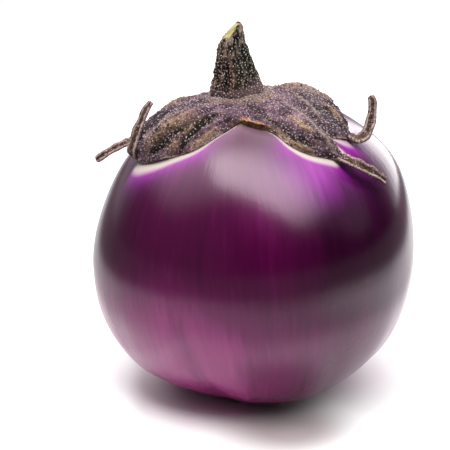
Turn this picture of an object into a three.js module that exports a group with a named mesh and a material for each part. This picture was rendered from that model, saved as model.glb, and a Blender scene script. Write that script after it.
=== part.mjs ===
// A round violet eggplant as picked: the fruit, the calyx that caps it, and the cut stem.
// Millimetres, +Z up, front towards -Y. The origin is the middle of the small flat spot that the
// fruit rests on. The fruit is built about its own pole and then leans a little to the left.
import * as THREE from "three";
import { mergeVertices } from "three/addons/utils/BufferGeometryUtils.js";

const DEGREE = Math.PI / 180;

// Fruit: a superellipse of revolution, fuller on its right side, with gentle swells and hollows.
const FRUIT_RADIUS = 55;
const FRUIT_HEIGHT = 104.5;
const BELLY_HEIGHT = 0.475 * FRUIT_HEIGHT;
const SHOULDER_FULLNESS = 1.98;
const SHOULDER_SIDE_DIFFERENCE = 0.1;
const BOTTOM_FULLNESS = 2.28;
const BOTTOM_SIDE_DIFFERENCE = 0.05;
const LEAN = 4.5 * DEGREE;
const BODY_CENTRE = new THREE.Vector3(2.5, 0.5, 48.95);
const SWELLS = [
  { azimuth: 0, polar: 60, spread: 16, height: 1.8 },
  { azimuth: -2, polar: 112, spread: 16, height: -1.0 },
  { azimuth: -72, polar: 146, spread: 17, height: 2.0 },
  { azimuth: -120, polar: 140, spread: 13, height: -1.2 },
  { azimuth: -155, polar: 130, spread: 16, height: 1.0 },
  { azimuth: 180, polar: 112, spread: 16, height: 1.2 },
  { azimuth: 180, polar: 66, spread: 18, height: -1.1 },
  { azimuth: 150, polar: 142, spread: 15, height: 1.0 },
  { azimuth: 120, polar: 120, spread: 16, height: -0.9 },
  { azimuth: 105, polar: 62, spread: 18, height: 0.8 },
  { azimuth: 75, polar: 140, spread: 16, height: 1.4 },
  { azimuth: 40, polar: 128, spread: 14, height: -0.8 },
  { azimuth: 0, polar: 0, spread: 35, height: -1.4 },
];
const FRUIT_COLUMNS = 72;
const FRUIT_ROWS = 38;

// Calyx: five lobes, drawn on a flat plan of the fruit's top. A plan point is in millimetres along
// the skin from the fruit's pole, X to the right and Y to the back, and is then laid on the fruit.
const SKIN_ARC_RADIUS = 53.5;
const CALYX_CLEARANCE = 0.55;
const CALYX_CROWN = 1.5;
const CALYX_NOTCH_HEIGHT = 1.7;
const CALYX_EDGE_HEIGHT = 1.45;
const CROWN_SHARE = 0.2;
const SEAM_SHARE = 0.4;
const SWELL_SHARPNESS = 2;
const SEAM_ROWS = 5;
const LOBE_ROWS = 9;
const TIP_ROWS = 9;
const LOBE_COLUMNS = 10;

// Each lobe starts at the notch that it shares with the lobe before it, going anticlockwise seen
// from above. Its leading and trailing edges run from the two notches to its tip, and the tip is a
// narrow strip along a path in millimetres from the body's centre.
const LOBES = [
  {
    notch: [-0.9, -21.0],
    leading: [[9.2, -26.0], [15.7, -31.2], [22.4, -32.9], [30.9, -31.5]],
    trailing: [[32.2, -25.2], [34.0, -27.6]],
    dome: 1.9,
    crest: 0.5,
    keel: { from: 0.7, to: 0.1, height: 0.9 },
    groove: { from: -0.2, to: -0.7, depth: 0.5 },
    tip: { path: [[31.9, -29.7, 38.4], [36.1, -29.2, 36.1], [39.6, -27.8, 33.9], [42.4, -25.9, 31.3]],
      width: 5.4, roll: 82, end: 3.0, twist: -16 },
  },
  {
    notch: [29.0, -21.9],
    leading: [[31.4, -20.7], [35.4, -18.6]],
    trailing: [[25.5, 13.5], [24.0, 6.0], [31.5, -1.0], [34.9, -8.4], [35.9, -13.8]],
    dome: 0.4,
    crest: 0.145,
    keel: { from: 0.66, to: 0.8, height: 2.5 },
    groove: { from: -0.45, to: -0.3, depth: 0.4 },
    tip: { path: [[33.6, -16.7, 42.9], [36.1, -15.2, 43.8], [37.5, -13.6, 45.8], [38.4, -12.2, 48.4],
      [38.9, -11.0, 51.6], [38.9, -10.2, 54.4], [38.2, -9.6, 56.3]],
      width: 3.8, roll: 55, end: 1.8, twist: -38 },
  },
  {
    notch: [17.6, 13.8],
    leading: [[20.5, 23.0], [15.5, 33.0], [8.5, 40.0]],
    trailing: [[-8.0, 28.0], [-2.5, 36.5], [4.5, 41.0]],
    dome: 1.1,
    crest: 0.65,
    keel: { from: 0.0, to: 0.0, height: 0.95 },
    groove: { from: -0.5, to: -0.4, depth: 0.8 },
    tip: { path: [[3.0, 39.5, 40.0], [4.5, 43.5, 38.0], [6.5, 46.5, 38.0], [8.0, 48.5, 40.0]],
      width: 3.6, roll: 60, end: 2.0, twist: 0 },
  },
  {
    notch: [-10.5, 19.8],
    leading: [[-17.0, 28.5], [-26.5, 29.5], [-34.3, 23.0]],
    trailing: [[-28.5, 15.8], [-36.8, 18.8]],
    dome: 3.0,
    crest: 0.59,
    keel: { from: 0.1, to: 0.0, height: 0.8 },
    groove: { from: -0.45, to: -0.4, depth: 0.8 },
    tip: { path: [[-41.9, 14.5, 34.0], [-45.7, 13.6, 32.4], [-49.2, 12.6, 30.7], [-54.0, 12.0, 27.6]],
      width: 3.0, roll: 60, end: 2.6, twist: 62 },
  },
  {
    notch: [-21.5, 11.4],
    leading: [[-31.0, 12.0], [-37.5, 5.0], [-40.0, -4.0], [-40.3, -12.0]],
    trailing: [[-6.7, -25.0], [-17.1, -28.9], [-28.5, -26.1], [-36.3, -20.7], [-38.6, -16.8]],
    dome: 5.3,
    crest: 0.4,
    keel: { from: 0.38, to: 0.27, height: 0.8 },
    groove: { from: 0.6, to: 0.65, depth: 1.3 },
    tip: { path: [[-40.3, -14.8, 38.4], [-39.4, -13.8, 41.9], [-38.5, -12.9, 45.1], [-37.2, -11.9, 47.9],
      [-36.1, -11.0, 50.7], [-34.8, -10.2, 52.9], [-33.8, -9.6, 54.1]],
      width: 3.4, roll: 65, end: 1.7, twist: 42 },
  },
];

// Stem: a tapering ribbed stalk with a flared foot, cut on a slant that faces up and to the left.
const STEM_PLAN_CENTRE = [-1.1, 0.4];
const STEM_FOOT_RADIUS = 9.3;
const STEM_LIFT = 0.35;
const STEM_PROFILE = [
  { height: 55.6, centre: -5.3, radius: 9.0 },
  { height: 58.9, centre: -5.4, radius: 7.9 },
  { height: 62.2, centre: -5.9, radius: 7.0 },
  { height: 65.5, centre: -6.3, radius: 6.0 },
  { height: 68.8, centre: -6.8, radius: 5.2 },
  { height: 72.1, centre: -7.2, radius: 4.4 },
  { height: 75.4, centre: -7.3, radius: 3.9 },
  { height: 78.7, centre: -7.3, radius: 3.4 },
];
const STEM_TOP = 78.4;
const STEM_CUT_POINT = new THREE.Vector3(-7.3, 0, 76.6);
const STEM_CUT_SLOPE = 0.98;
const STEM_RIBS = 5;
const STEM_RIB_DEPTH = 0.06;
const STEM_COLUMNS = 30;
const STEM_ROWS = 12;

const fruitSkin = new THREE.MeshStandardMaterial({ color: 0x6b1a5c, roughness: 0.28, metalness: 0 });
const calyxLeaf = new THREE.MeshStandardMaterial({ color: 0x6f5c5c, roughness: 0.85, metalness: 0 });
const stemBark = new THREE.MeshStandardMaterial({ color: 0x4a3c36, roughness: 0.9, metalness: 0 });

// The fruit's surface about its own pole, from the azimuth and the angle down from the pole.
function fruitBody(azimuth, polar) {
  const across = Math.sin(polar);
  const along = Math.cos(polar);
  const aside = Math.cos(azimuth);
  const top = along >= 0;
  const fullness = top
    ? SHOULDER_FULLNESS + SHOULDER_SIDE_DIFFERENCE * aside
    : BOTTOM_FULLNESS + BOTTOM_SIDE_DIFFERENCE * aside;
  const reach = top ? FRUIT_HEIGHT - BELLY_HEIGHT : -BELLY_HEIGHT;
  const radius = FRUIT_RADIUS * Math.abs(across) ** (2 / fullness);
  const height = reach * Math.abs(along) ** (2 / fullness);
  const direction = new THREE.Vector3().setFromSphericalCoords(1, polar, azimuth);
  let stretch = 1;
  for (const swell of SWELLS) {
    const middle = new THREE.Vector3()
      .setFromSphericalCoords(1, swell.polar * DEGREE, swell.azimuth * DEGREE);
    const away = direction.angleTo(middle) / (swell.spread * DEGREE);
    stretch += (swell.height / FRUIT_RADIUS) * Math.exp(-away * away);
  }
  return new THREE.Vector3(radius * aside, radius * Math.sin(azimuth), height).multiplyScalar(stretch);
}

// A point on the leaning fruit, or a little way out from it along the skin's normal.
function fruitPoint(azimuth, polar, lift = 0) {
  const step = 1e-3;
  const point = fruitBody(azimuth, polar);
  if (lift !== 0) {
    const steadyPolar = Math.max(polar, step);
    const around = fruitBody(azimuth + step, steadyPolar).sub(fruitBody(azimuth - step, steadyPolar));
    const down = fruitBody(azimuth, steadyPolar + step).sub(fruitBody(azimuth, steadyPolar));
    point.addScaledVector(down.cross(around).normalize(), lift);
  }
  return point.applyAxisAngle(new THREE.Vector3(0, 1, 0), -LEAN);
}

// A plan point laid on the fruit's top.
function layOnFruit(x, y, lift) {
  return fruitPoint(Math.atan2(y, x), Math.hypot(x, y) / SKIN_ARC_RADIUS, lift);
}

// A smooth curve through a list of points (arrays of numbers), at a share t of the way along it.
function curveThrough(points, t) {
  const last = points.length - 1;
  const place = Math.min(Math.max(t, 0), 1) * last;
  const index = Math.min(Math.floor(place), last - 1);
  const u = place - index;
  const before = points[Math.max(index - 1, 0)];
  const start = points[index];
  const end = points[index + 1];
  const after = points[Math.min(index + 2, last)];
  return start.map((value, axis) => {
    const leave = (end[axis] - before[axis]) / 2;
    const arrive = (after[axis] - value) / 2;
    const turn = 3 * (end[axis] - value) - 2 * leave - arrive;
    const settle = 2 * (value - end[axis]) + leave + arrive;
    return value + leave * u + turn * u * u + settle * u * u * u;
  });
}

// One closed body from corner points and triangles, with coincident corners joined.
function solidGeometry(points, triangles) {
  const geometry = new THREE.BufferGeometry();
  const positions = points.flatMap((point) => [point.x, point.y, point.z]);
  geometry.setAttribute("position", new THREE.Float32BufferAttribute(positions, 3));
  geometry.setIndex(triangles.flat());
  const merged = mergeVertices(geometry, 1e-4);
  merged.computeVertexNormals();
  return merged;
}

// Triangles of a grid of rows and columns, each cell split the same way. The faces point to the
// side from which the columns run anticlockwise as the rows go outwards.
function gridTriangles(first, rows, columns, flip) {
  const triangles = [];
  for (let row = 0; row < rows; row += 1) {
    for (let column = 0; column < columns; column += 1) {
      const a = first + row * (columns + 1) + column;
      const b = a + 1;
      const c = a + columns + 1;
      const d = c + 1;
      triangles.push(flip ? [a, d, c] : [a, c, d]);
      triangles.push(flip ? [a, b, d] : [a, d, b]);
    }
  }
  return triangles;
}

function isFlat(triangle, points) {
  const [a, b, c] = triangle.map((index) => points[index]);
  const size = new THREE.Vector3().subVectors(b, a).cross(new THREE.Vector3().subVectors(c, a));
  return size.length() < 1e-5;
}

// The fruit: rings of points from pole to pole, pressed flat where it rests.
function makeFruit() {
  const points = [];
  for (let row = 0; row <= FRUIT_ROWS; row += 1) {
    const polar = (Math.PI * row) / FRUIT_ROWS;
    for (let column = 0; column <= FRUIT_COLUMNS; column += 1) {
      const azimuth = (2 * Math.PI * (column % FRUIT_COLUMNS)) / FRUIT_COLUMNS;
      const point = fruitPoint(azimuth, polar).add(BODY_CENTRE);
      point.z = Math.max(point.z, 0);
      points.push(point);
    }
  }
  const triangles = gridTriangles(0, FRUIT_ROWS, FRUIT_COLUMNS, false)
    .filter((triangle) => !isFlat(triangle, points));
  return solidGeometry(points, triangles);
}

// A lobe's edge at share s: straight out to the notch, then a smooth curve to the tip.
function edgePoint(notch, edge, s) {
  if (s <= SEAM_SHARE) {
    const share = s / SEAM_SHARE;
    return [notch[0] * share, notch[1] * share];
  }
  return curveThrough([notch, ...edge], (s - SEAM_SHARE) / (1 - SEAM_SHARE));
}

// The plan point of a lobe at share s outwards and c across, from -1 at its leading edge to 1 at
// its trailing edge. Rows are arcs about the fruit's pole.
function lobePlan(lobe, nextNotch, s, c) {
  const [leadX, leadY] = edgePoint(lobe.notch, lobe.leading, s);
  const [trailX, trailY] = edgePoint(nextNotch, lobe.trailing, s);
  const leadAngle = s > 0 ? Math.atan2(leadY, leadX) : Math.atan2(lobe.notch[1], lobe.notch[0]);
  let trailAngle = s > 0 ? Math.atan2(trailY, trailX) : Math.atan2(nextNotch[1], nextNotch[0]);
  if (trailAngle < leadAngle) {
    trailAngle += 2 * Math.PI;
  }
  const share = (c + 1) / 2;
  const angle = leadAngle + (trailAngle - leadAngle) * share;
  const reach = Math.hypot(leadX, leadY) * (1 - share) + Math.hypot(trailX, trailY) * share;
  return [reach * Math.cos(angle), reach * Math.sin(angle)];
}

// Height of a lobe's upper face over the fruit: a dome that peaks along the keel, with one groove
// beside it, falling to the notch line between lobes and to the free edge beyond the notch.
function lobeHeight(lobe, s, c) {
  const toNotch = THREE.MathUtils.smoothstep(s, CROWN_SHARE, SEAM_SHARE);
  const beyond = Math.max(s - SEAM_SHARE, 0) / (1 - SEAM_SHARE);
  const edge = THREE.MathUtils.lerp(CALYX_CROWN, CALYX_NOTCH_HEIGHT, toNotch)
    + (CALYX_EDGE_HEIGHT - CALYX_NOTCH_HEIGHT) * Math.min(4 * beyond, 1);
  const keelAt = THREE.MathUtils.lerp(lobe.keel.from, lobe.keel.to, beyond);
  const grooveAt = THREE.MathUtils.lerp(lobe.groove.from, lobe.groove.to, beyond);
  const aside = c > keelAt ? (c - keelAt) / (1 - keelAt) : (keelAt - c) / (1 + keelAt);
  const outside = Math.max(s - CROWN_SHARE, 0) / (1 - CROWN_SHARE);
  const peaking = Math.sin(Math.PI * outside ** (Math.log(0.5) / Math.log(lobe.crest)));
  const swell = Math.max(peaking, 0) ** SWELL_SHARPNESS;
  const dome = lobe.dome * swell * (1 - aside ** 2);
  const keel = lobe.keel.height * swell * Math.exp(-(((c - keelAt) / 0.2) ** 2));
  const groove = lobe.groove.depth * swell * Math.exp(-(((c - grooveAt) / 0.2) ** 2));
  const inside = 1 - c ** 6;
  return edge + inside * (dome + keel - groove);
}

// The tip's cross-section: a narrow strip rolled up at its sides, carried along the path and turned
// by its twist. Gives the upper and lower rows of points.
function tipRows(lobe, lastUpper, lastLower) {
  const middle = LOBE_COLUMNS / 2;
  const start = lastUpper[middle].clone().add(lastLower[middle]).multiplyScalar(0.5);
  const route = [start.toArray(), ...lobe.tip.path];
  const baseSide = new THREE.Vector3().subVectors(lastUpper[LOBE_COLUMNS], lastUpper[0]);
  const baseWidth = baseSide.length();
  const side = baseSide.clone().normalize();
  const normal = new THREE.Vector3().subVectors(lastUpper[middle], lastLower[middle]).normalize();
  const baseThickness = lastUpper[middle].distanceTo(lastLower[middle]);
  const rows = [];
  for (let row = 1; row <= TIP_ROWS; row += 1) {
    const t = row / TIP_ROWS;
    const centre = new THREE.Vector3(...curveThrough(route, t));
    const ahead = new THREE.Vector3(...curveThrough(route, Math.min(t + 0.02, 1)));
    const behind = new THREE.Vector3(...curveThrough(route, t - 0.02));
    const forward = ahead.sub(behind).normalize();
    side.addScaledVector(forward, -side.dot(forward)).normalize();
    const sign = Math.sign(new THREE.Vector3().crossVectors(forward, side).dot(normal)) || 1;
    normal.crossVectors(forward, side).multiplyScalar(sign).normalize();
    const settle = Math.min(3 * t, 1);
    const twist = lobe.tip.twist * settle ** 2 * DEGREE;
    const across = side.clone().multiplyScalar(Math.cos(twist))
      .addScaledVector(normal, -Math.sin(twist));
    const facing = normal.clone().multiplyScalar(Math.cos(twist))
      .addScaledVector(side, Math.sin(twist));
    const slim = THREE.MathUtils.lerp(lobe.tip.width, lobe.tip.end, t ** 2);
    const width = THREE.MathUtils.lerp(baseWidth, slim, settle);
    const roll = THREE.MathUtils.lerp(5, lobe.tip.roll, settle) * DEGREE;
    const thickness = THREE.MathUtils.lerp(baseThickness, 1.0, settle);
    const upper = [];
    const lower = [];
    for (let column = 0; column <= LOBE_COLUMNS; column += 1) {
      const c = (2 * column) / LOBE_COLUMNS - 1;
      const bend = c * roll;
      const sideways = ((width / 2) * Math.sin(bend)) / roll;
      const rise = ((width / 2) * (1 - Math.cos(bend))) / roll;
      const outward = across.clone().multiplyScalar(-Math.sin(bend))
        .addScaledVector(facing, Math.cos(bend)).multiplyScalar(thickness / 2);
      const point = centre.clone().addScaledVector(across, sideways).addScaledVector(facing, rise);
      upper.push(point.clone().add(outward));
      lower.push(point.clone().sub(outward));
    }
    rows.push({ upper, lower });
  }
  return rows;
}

// The calyx: upper and lower sheets of all five lobes, joined by rims along the free edges.
function makeCalyx() {
  const points = [];
  const triangles = [];
  LOBES.forEach((lobe, index) => {
    const nextNotch = LOBES[(index + 1) % LOBES.length].notch;
    const rows = [];
    for (let row = 0; row <= SEAM_ROWS + LOBE_ROWS; row += 1) {
      const s = row <= SEAM_ROWS
        ? (SEAM_SHARE * row) / SEAM_ROWS
        : SEAM_SHARE + ((1 - SEAM_SHARE) * (row - SEAM_ROWS)) / LOBE_ROWS;
      const upper = [];
      const lower = [];
      for (let column = 0; column <= LOBE_COLUMNS; column += 1) {
        const c = (2 * column) / LOBE_COLUMNS - 1;
        const [x, y] = lobePlan(lobe, nextNotch, s, c);
        upper.push(layOnFruit(x, y, lobeHeight(lobe, s, c)));
        lower.push(layOnFruit(x, y, CALYX_CLEARANCE));
      }
      rows.push({ upper, lower });
    }
    const last = rows.at(-1);
    rows.push(...tipRows(lobe, last.upper, last.lower));

    const count = rows.length - 1;
    const upperFirst = points.length;
    points.push(...rows.flatMap((row) => row.upper));
    const lowerFirst = points.length;
    points.push(...rows.flatMap((row) => row.lower));
    triangles.push(...gridTriangles(upperFirst, count, LOBE_COLUMNS, false));
    triangles.push(...gridTriangles(lowerFirst, count, LOBE_COLUMNS, true));
    const stride = LOBE_COLUMNS + 1;
    for (let row = SEAM_ROWS; row < count; row += 1) {
      const lead = row * stride;
      const trail = lead + LOBE_COLUMNS;
      triangles.push([upperFirst + lead, lowerFirst + lead, lowerFirst + lead + stride]);
      triangles.push([upperFirst + lead, lowerFirst + lead + stride, upperFirst + lead + stride]);
      triangles.push([upperFirst + trail, lowerFirst + trail + stride, lowerFirst + trail]);
      triangles.push([upperFirst + trail, upperFirst + trail + stride, lowerFirst + trail + stride]);
    }
    for (let column = 0; column < LOBE_COLUMNS; column += 1) {
      const end = count * stride + column;
      triangles.push([upperFirst + end, lowerFirst + end, lowerFirst + end + 1]);
      triangles.push([upperFirst + end, lowerFirst + end + 1, upperFirst + end + 1]);
    }
  });
  points.forEach((point) => point.add(BODY_CENTRE));
  return solidGeometry(points, triangles.filter((triangle) => !isFlat(triangle, points)));
}

// The stem's centre and radius at a height, from the profile.
function stemSection(height) {
  const first = STEM_PROFILE[0];
  const last = STEM_PROFILE.at(-1);
  const t = (height - first.height) / (last.height - first.height);
  const stations = STEM_PROFILE.map((station) => [station.centre, station.radius]);
  const [centre, radius] = curveThrough(stations, t);
  return { centre, radius };
}

// The stem: a foot that follows the calyx's crown, ribbed walls, and a slanted flat cut.
function makeStem() {
  const points = [];
  const wallRows = [];
  for (let column = 0; column <= STEM_COLUMNS; column += 1) {
    const angle = (2 * Math.PI * (column % STEM_COLUMNS)) / STEM_COLUMNS;
    const rib = 1 + STEM_RIB_DEPTH * Math.cos(STEM_RIBS * (angle + 0.5));
    const foot = layOnFruit(
      STEM_PLAN_CENTRE[0] + STEM_FOOT_RADIUS * rib * Math.cos(angle),
      STEM_PLAN_CENTRE[1] + STEM_FOOT_RADIUS * rib * Math.sin(angle),
      CALYX_CROWN + STEM_LIFT,
    );
    let cutHeight = STEM_CUT_POINT.z;
    for (let pass = 0; pass < 6; pass += 1) {
      const { centre, radius } = stemSection(cutHeight);
      const x = centre + radius * rib * Math.cos(angle);
      cutHeight = Math.min(STEM_CUT_POINT.z + STEM_CUT_SLOPE * (x - STEM_CUT_POINT.x), STEM_TOP);
    }
    const wall = [foot];
    for (let row = 1; row <= STEM_ROWS; row += 1) {
      const height = THREE.MathUtils.lerp(foot.z, cutHeight, row / STEM_ROWS);
      const { centre, radius } = stemSection(height);
      const x = centre + radius * rib * Math.cos(angle);
      wall.push(new THREE.Vector3(x, radius * rib * Math.sin(angle), height));
    }
    wallRows.push(wall);
  }
  for (let row = 0; row <= STEM_ROWS; row += 1) {
    for (const wall of wallRows) {
      points.push(wall[row]);
    }
  }
  const triangles = gridTriangles(0, STEM_ROWS, STEM_COLUMNS, true);
  const footCentre = points.length;
  points.push(layOnFruit(STEM_PLAN_CENTRE[0], STEM_PLAN_CENTRE[1], CALYX_CROWN + STEM_LIFT));
  const cutCentre = points.length;
  points.push(STEM_CUT_POINT.clone());
  const topFirst = STEM_ROWS * (STEM_COLUMNS + 1);
  for (let column = 0; column < STEM_COLUMNS; column += 1) {
    triangles.push([footCentre, column + 1, column]);
    triangles.push([cutCentre, topFirst + column, topFirst + column + 1]);
  }
  points.forEach((point) => point.add(BODY_CENTRE));
  return solidGeometry(points, triangles);
}

function part(name, geometry, material) {
  const mesh = new THREE.Mesh(geometry, material);
  mesh.name = name;
  return mesh;
}

const group = new THREE.Group();
group.add(part("fruit", makeFruit(), fruitSkin));
group.add(part("calyx", makeCalyx(), calyxLeaf));
group.add(part("stem", makeStem(), stemBark));

export default group;
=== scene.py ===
import math

import bpy
import numpy as np
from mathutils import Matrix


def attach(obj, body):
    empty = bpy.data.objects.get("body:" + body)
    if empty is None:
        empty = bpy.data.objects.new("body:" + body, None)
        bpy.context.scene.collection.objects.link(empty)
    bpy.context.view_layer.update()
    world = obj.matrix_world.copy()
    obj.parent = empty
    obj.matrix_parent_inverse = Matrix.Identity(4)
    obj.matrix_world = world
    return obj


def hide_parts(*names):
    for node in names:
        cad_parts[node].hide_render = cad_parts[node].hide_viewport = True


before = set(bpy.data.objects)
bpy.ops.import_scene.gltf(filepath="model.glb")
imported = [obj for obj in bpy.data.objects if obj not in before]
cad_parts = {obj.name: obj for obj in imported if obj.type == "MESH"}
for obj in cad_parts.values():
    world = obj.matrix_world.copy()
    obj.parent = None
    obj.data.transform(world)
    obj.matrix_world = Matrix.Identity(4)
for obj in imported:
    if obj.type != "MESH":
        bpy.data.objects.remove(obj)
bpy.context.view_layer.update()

# A round violet eggplant as picked: waxy fruit, leathery calyx, cut stem and their hair tufts.
# Shapes are worked out in millimetres from the body's centre, then put in place in metres.
MM = 0.001
DEGREE = math.pi / 180

# ---- fruit: driving dimensions
FRUIT_RADIUS = 55.0
FRUIT_HEIGHT = 104.5
BELLY_HEIGHT = 0.475 * FRUIT_HEIGHT
SHOULDER_FULLNESS = 1.98
SHOULDER_SIDE_DIFFERENCE = 0.1
BOTTOM_FULLNESS = 2.28
BOTTOM_SIDE_DIFFERENCE = 0.05
LEAN = 4.5 * DEGREE
BODY_CENTRE = np.array([2.5, 0.5, 48.95])
# Gentle swells and hollows: azimuth, polar angle, spread (degrees) and height (mm).
SWELLS = [
    (0, 60, 16, 1.8), (-2, 112, 16, -1.0), (-72, 146, 17, 2.0), (-120, 140, 13, -1.2),
    (-155, 130, 16, 1.0), (180, 112, 16, 1.2), (180, 66, 18, -1.1), (150, 142, 15, 1.0),
    (120, 120, 16, -0.9), (105, 62, 18, 0.8), (75, 140, 16, 1.4), (40, 128, 14, -0.8),
    (0, 0, 35, -1.4),
]
# Shallow pleats that run up from the blossom end: azimuth, width (degrees) and depth (mm), and
# the polar angles (radians) where they begin, are deepest, and fade out again.
PLEATS = [(-114, 5.0, 0.4), (-98, 6.0, -0.25), (-60, 5.0, 0.25), (-28, 6.0, 0.3), (-150, 5.0, 0.3),
          (168, 5.0, 0.35), (122, 4.0, 0.4), (86, 6.0, 0.3), (48, 4.5, 0.4), (12, 6.0, 0.25)]
PLEAT_BEGINS = 1.25
PLEAT_DEEPEST = 2.3
PLEAT_FADES = 2.75
SCAR_RADIUS = 7.0
SCAR_DEPTH = 0.7
SCAR_CORE = 0.75
# Rows of points are close together down to the shoulder angle (radians), where the calyx shades.
FRUIT_COLUMNS = 380
SHOULDER_ANGLE = 1.2
SHOULDER_ROWS = 130
LOWER_ROWS = 110

# ---- calyx: driving dimensions
SKIN_ARC_RADIUS = 53.5
CALYX_CLEARANCE = 0.55
CALYX_CROWN = 1.5
CALYX_NOTCH_HEIGHT = 1.7
CALYX_EDGE_HEIGHT = 1.45
CROWN_SHARE = 0.2
SEAM_SHARE = 0.4
SWELL_SHARPNESS = 2.0
KEEL_SPREAD = 0.16
GROOVE_SPREAD = 0.15
SEAM_ROWS = 34
LOBE_ROWS = 76
TIP_ROWS = 40
# The tips, in shares of their length, in millimetres where thick and degrees where rolled.
TIP_LOOK_AHEAD = 0.02
TIP_END_ROUNDING = 0.07
TIP_WAVE = 0.09
TIP_WAVE_RATE = 21
TIP_THICKNESS = 0.9
TIP_BASE_ROLL = 5
# Lobes in turn round the stem. Angles are in degrees and crests, keels and grooves in shares; the
# shade band and glow are how far, in millimetres, the lobe keeps the skin pale and violet.
LOBES = [
    dict(name="front_right", columns=56, notch=(-0.9, -21.0),
         leading=[(9.2, -26.0), (15.7, -31.2), (22.4, -32.9), (30.9, -31.5)],
         trailing=[(32.2, -25.2), (34.0, -27.6)],
         dome=1.9, crest=0.5, keel=(0.7, 0.1, 0.9), groove=(-0.2, -0.7, 0.5),
         tip=[(31.9, -29.7, 38.4), (36.1, -29.2, 36.1), (39.6, -27.8, 33.9), (42.4, -25.9, 31.3)],
         tip_width=5.4, tip_roll=82, tip_end=3.0, tip_twist=-16, shade_band=2.6, glow=4.6),
    dict(name="right", columns=64, notch=(29.0, -21.9),
         leading=[(31.4, -20.7), (35.4, -18.6)],
         trailing=[(25.5, 13.5), (24.0, 6.0), (31.5, -1.0), (34.9, -8.4), (35.9, -13.8)],
         dome=0.4, crest=0.145, keel=(0.66, 0.8, 2.5), groove=(-0.45, -0.3, 0.4),
         tip=[(33.6, -16.7, 42.9), (36.1, -15.2, 43.8), (37.5, -13.6, 45.8), (38.4, -12.2, 48.4),
              (38.9, -11.0, 51.6), (38.9, -10.2, 54.4), (38.2, -9.6, 56.3)],
         tip_width=3.8, tip_roll=55, tip_end=1.8, tip_twist=-38, shade_band=3.2, glow=3.6),
    dict(name="back", columns=60, notch=(17.6, 13.8),
         leading=[(20.5, 23.0), (15.5, 33.0), (8.5, 40.0)],
         trailing=[(-8.0, 28.0), (-2.5, 36.5), (4.5, 41.0)],
         dome=1.1, crest=0.65, keel=(0.0, 0.0, 0.95), groove=(-0.5, -0.4, 0.8),
         tip=[(3.0, 39.5, 40.0), (4.5, 43.5, 38.0), (6.5, 46.5, 38.0), (8.0, 48.5, 40.0)],
         tip_width=3.6, tip_roll=60, tip_end=2.0, tip_twist=0, shade_band=3.0, glow=3.6),
    dict(name="back_left", columns=44, notch=(-10.5, 19.8),
         leading=[(-17.0, 28.5), (-26.5, 29.5), (-34.3, 23.0)],
         trailing=[(-28.5, 15.8), (-36.8, 18.8)],
         dome=3.0, crest=0.59, keel=(0.1, 0.0, 0.8), groove=(-0.45, -0.4, 0.8),
         tip=[(-41.9, 14.5, 34.0), (-45.7, 13.6, 32.4), (-49.2, 12.6, 30.7), (-54.0, 12.0, 27.6)],
         tip_width=3.0, tip_roll=60, tip_end=2.6, tip_twist=62, shade_band=3.0, glow=3.6),
    dict(name="front_left", columns=76, notch=(-21.5, 11.4),
         leading=[(-31.0, 12.0), (-37.5, 5.0), (-40.0, -4.0), (-40.3, -12.0)],
         trailing=[(-6.7, -25.0), (-17.1, -28.9), (-28.5, -26.1), (-36.3, -20.7), (-38.6, -16.8)],
         dome=5.3, crest=0.4, keel=(0.38, 0.27, 0.8), groove=(0.6, 0.65, 1.3),
         tip=[(-40.3, -14.8, 38.4), (-39.4, -13.8, 41.9), (-38.5, -12.9, 45.1), (-37.2, -11.9, 47.9),
              (-36.1, -11.0, 50.7), (-34.8, -10.2, 52.9), (-33.8, -9.6, 54.1)],
         tip_width=3.4, tip_roll=65, tip_end=1.7, tip_twist=42, shade_band=4.2, glow=2.6),
]
# The notch of the next lobe is where this one's trailing edge begins.
for this_lobe, lobe_after in zip(LOBES, LOBES[1:] + LOBES[:1]):
    this_lobe["next_notch"] = lobe_after["notch"]

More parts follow.
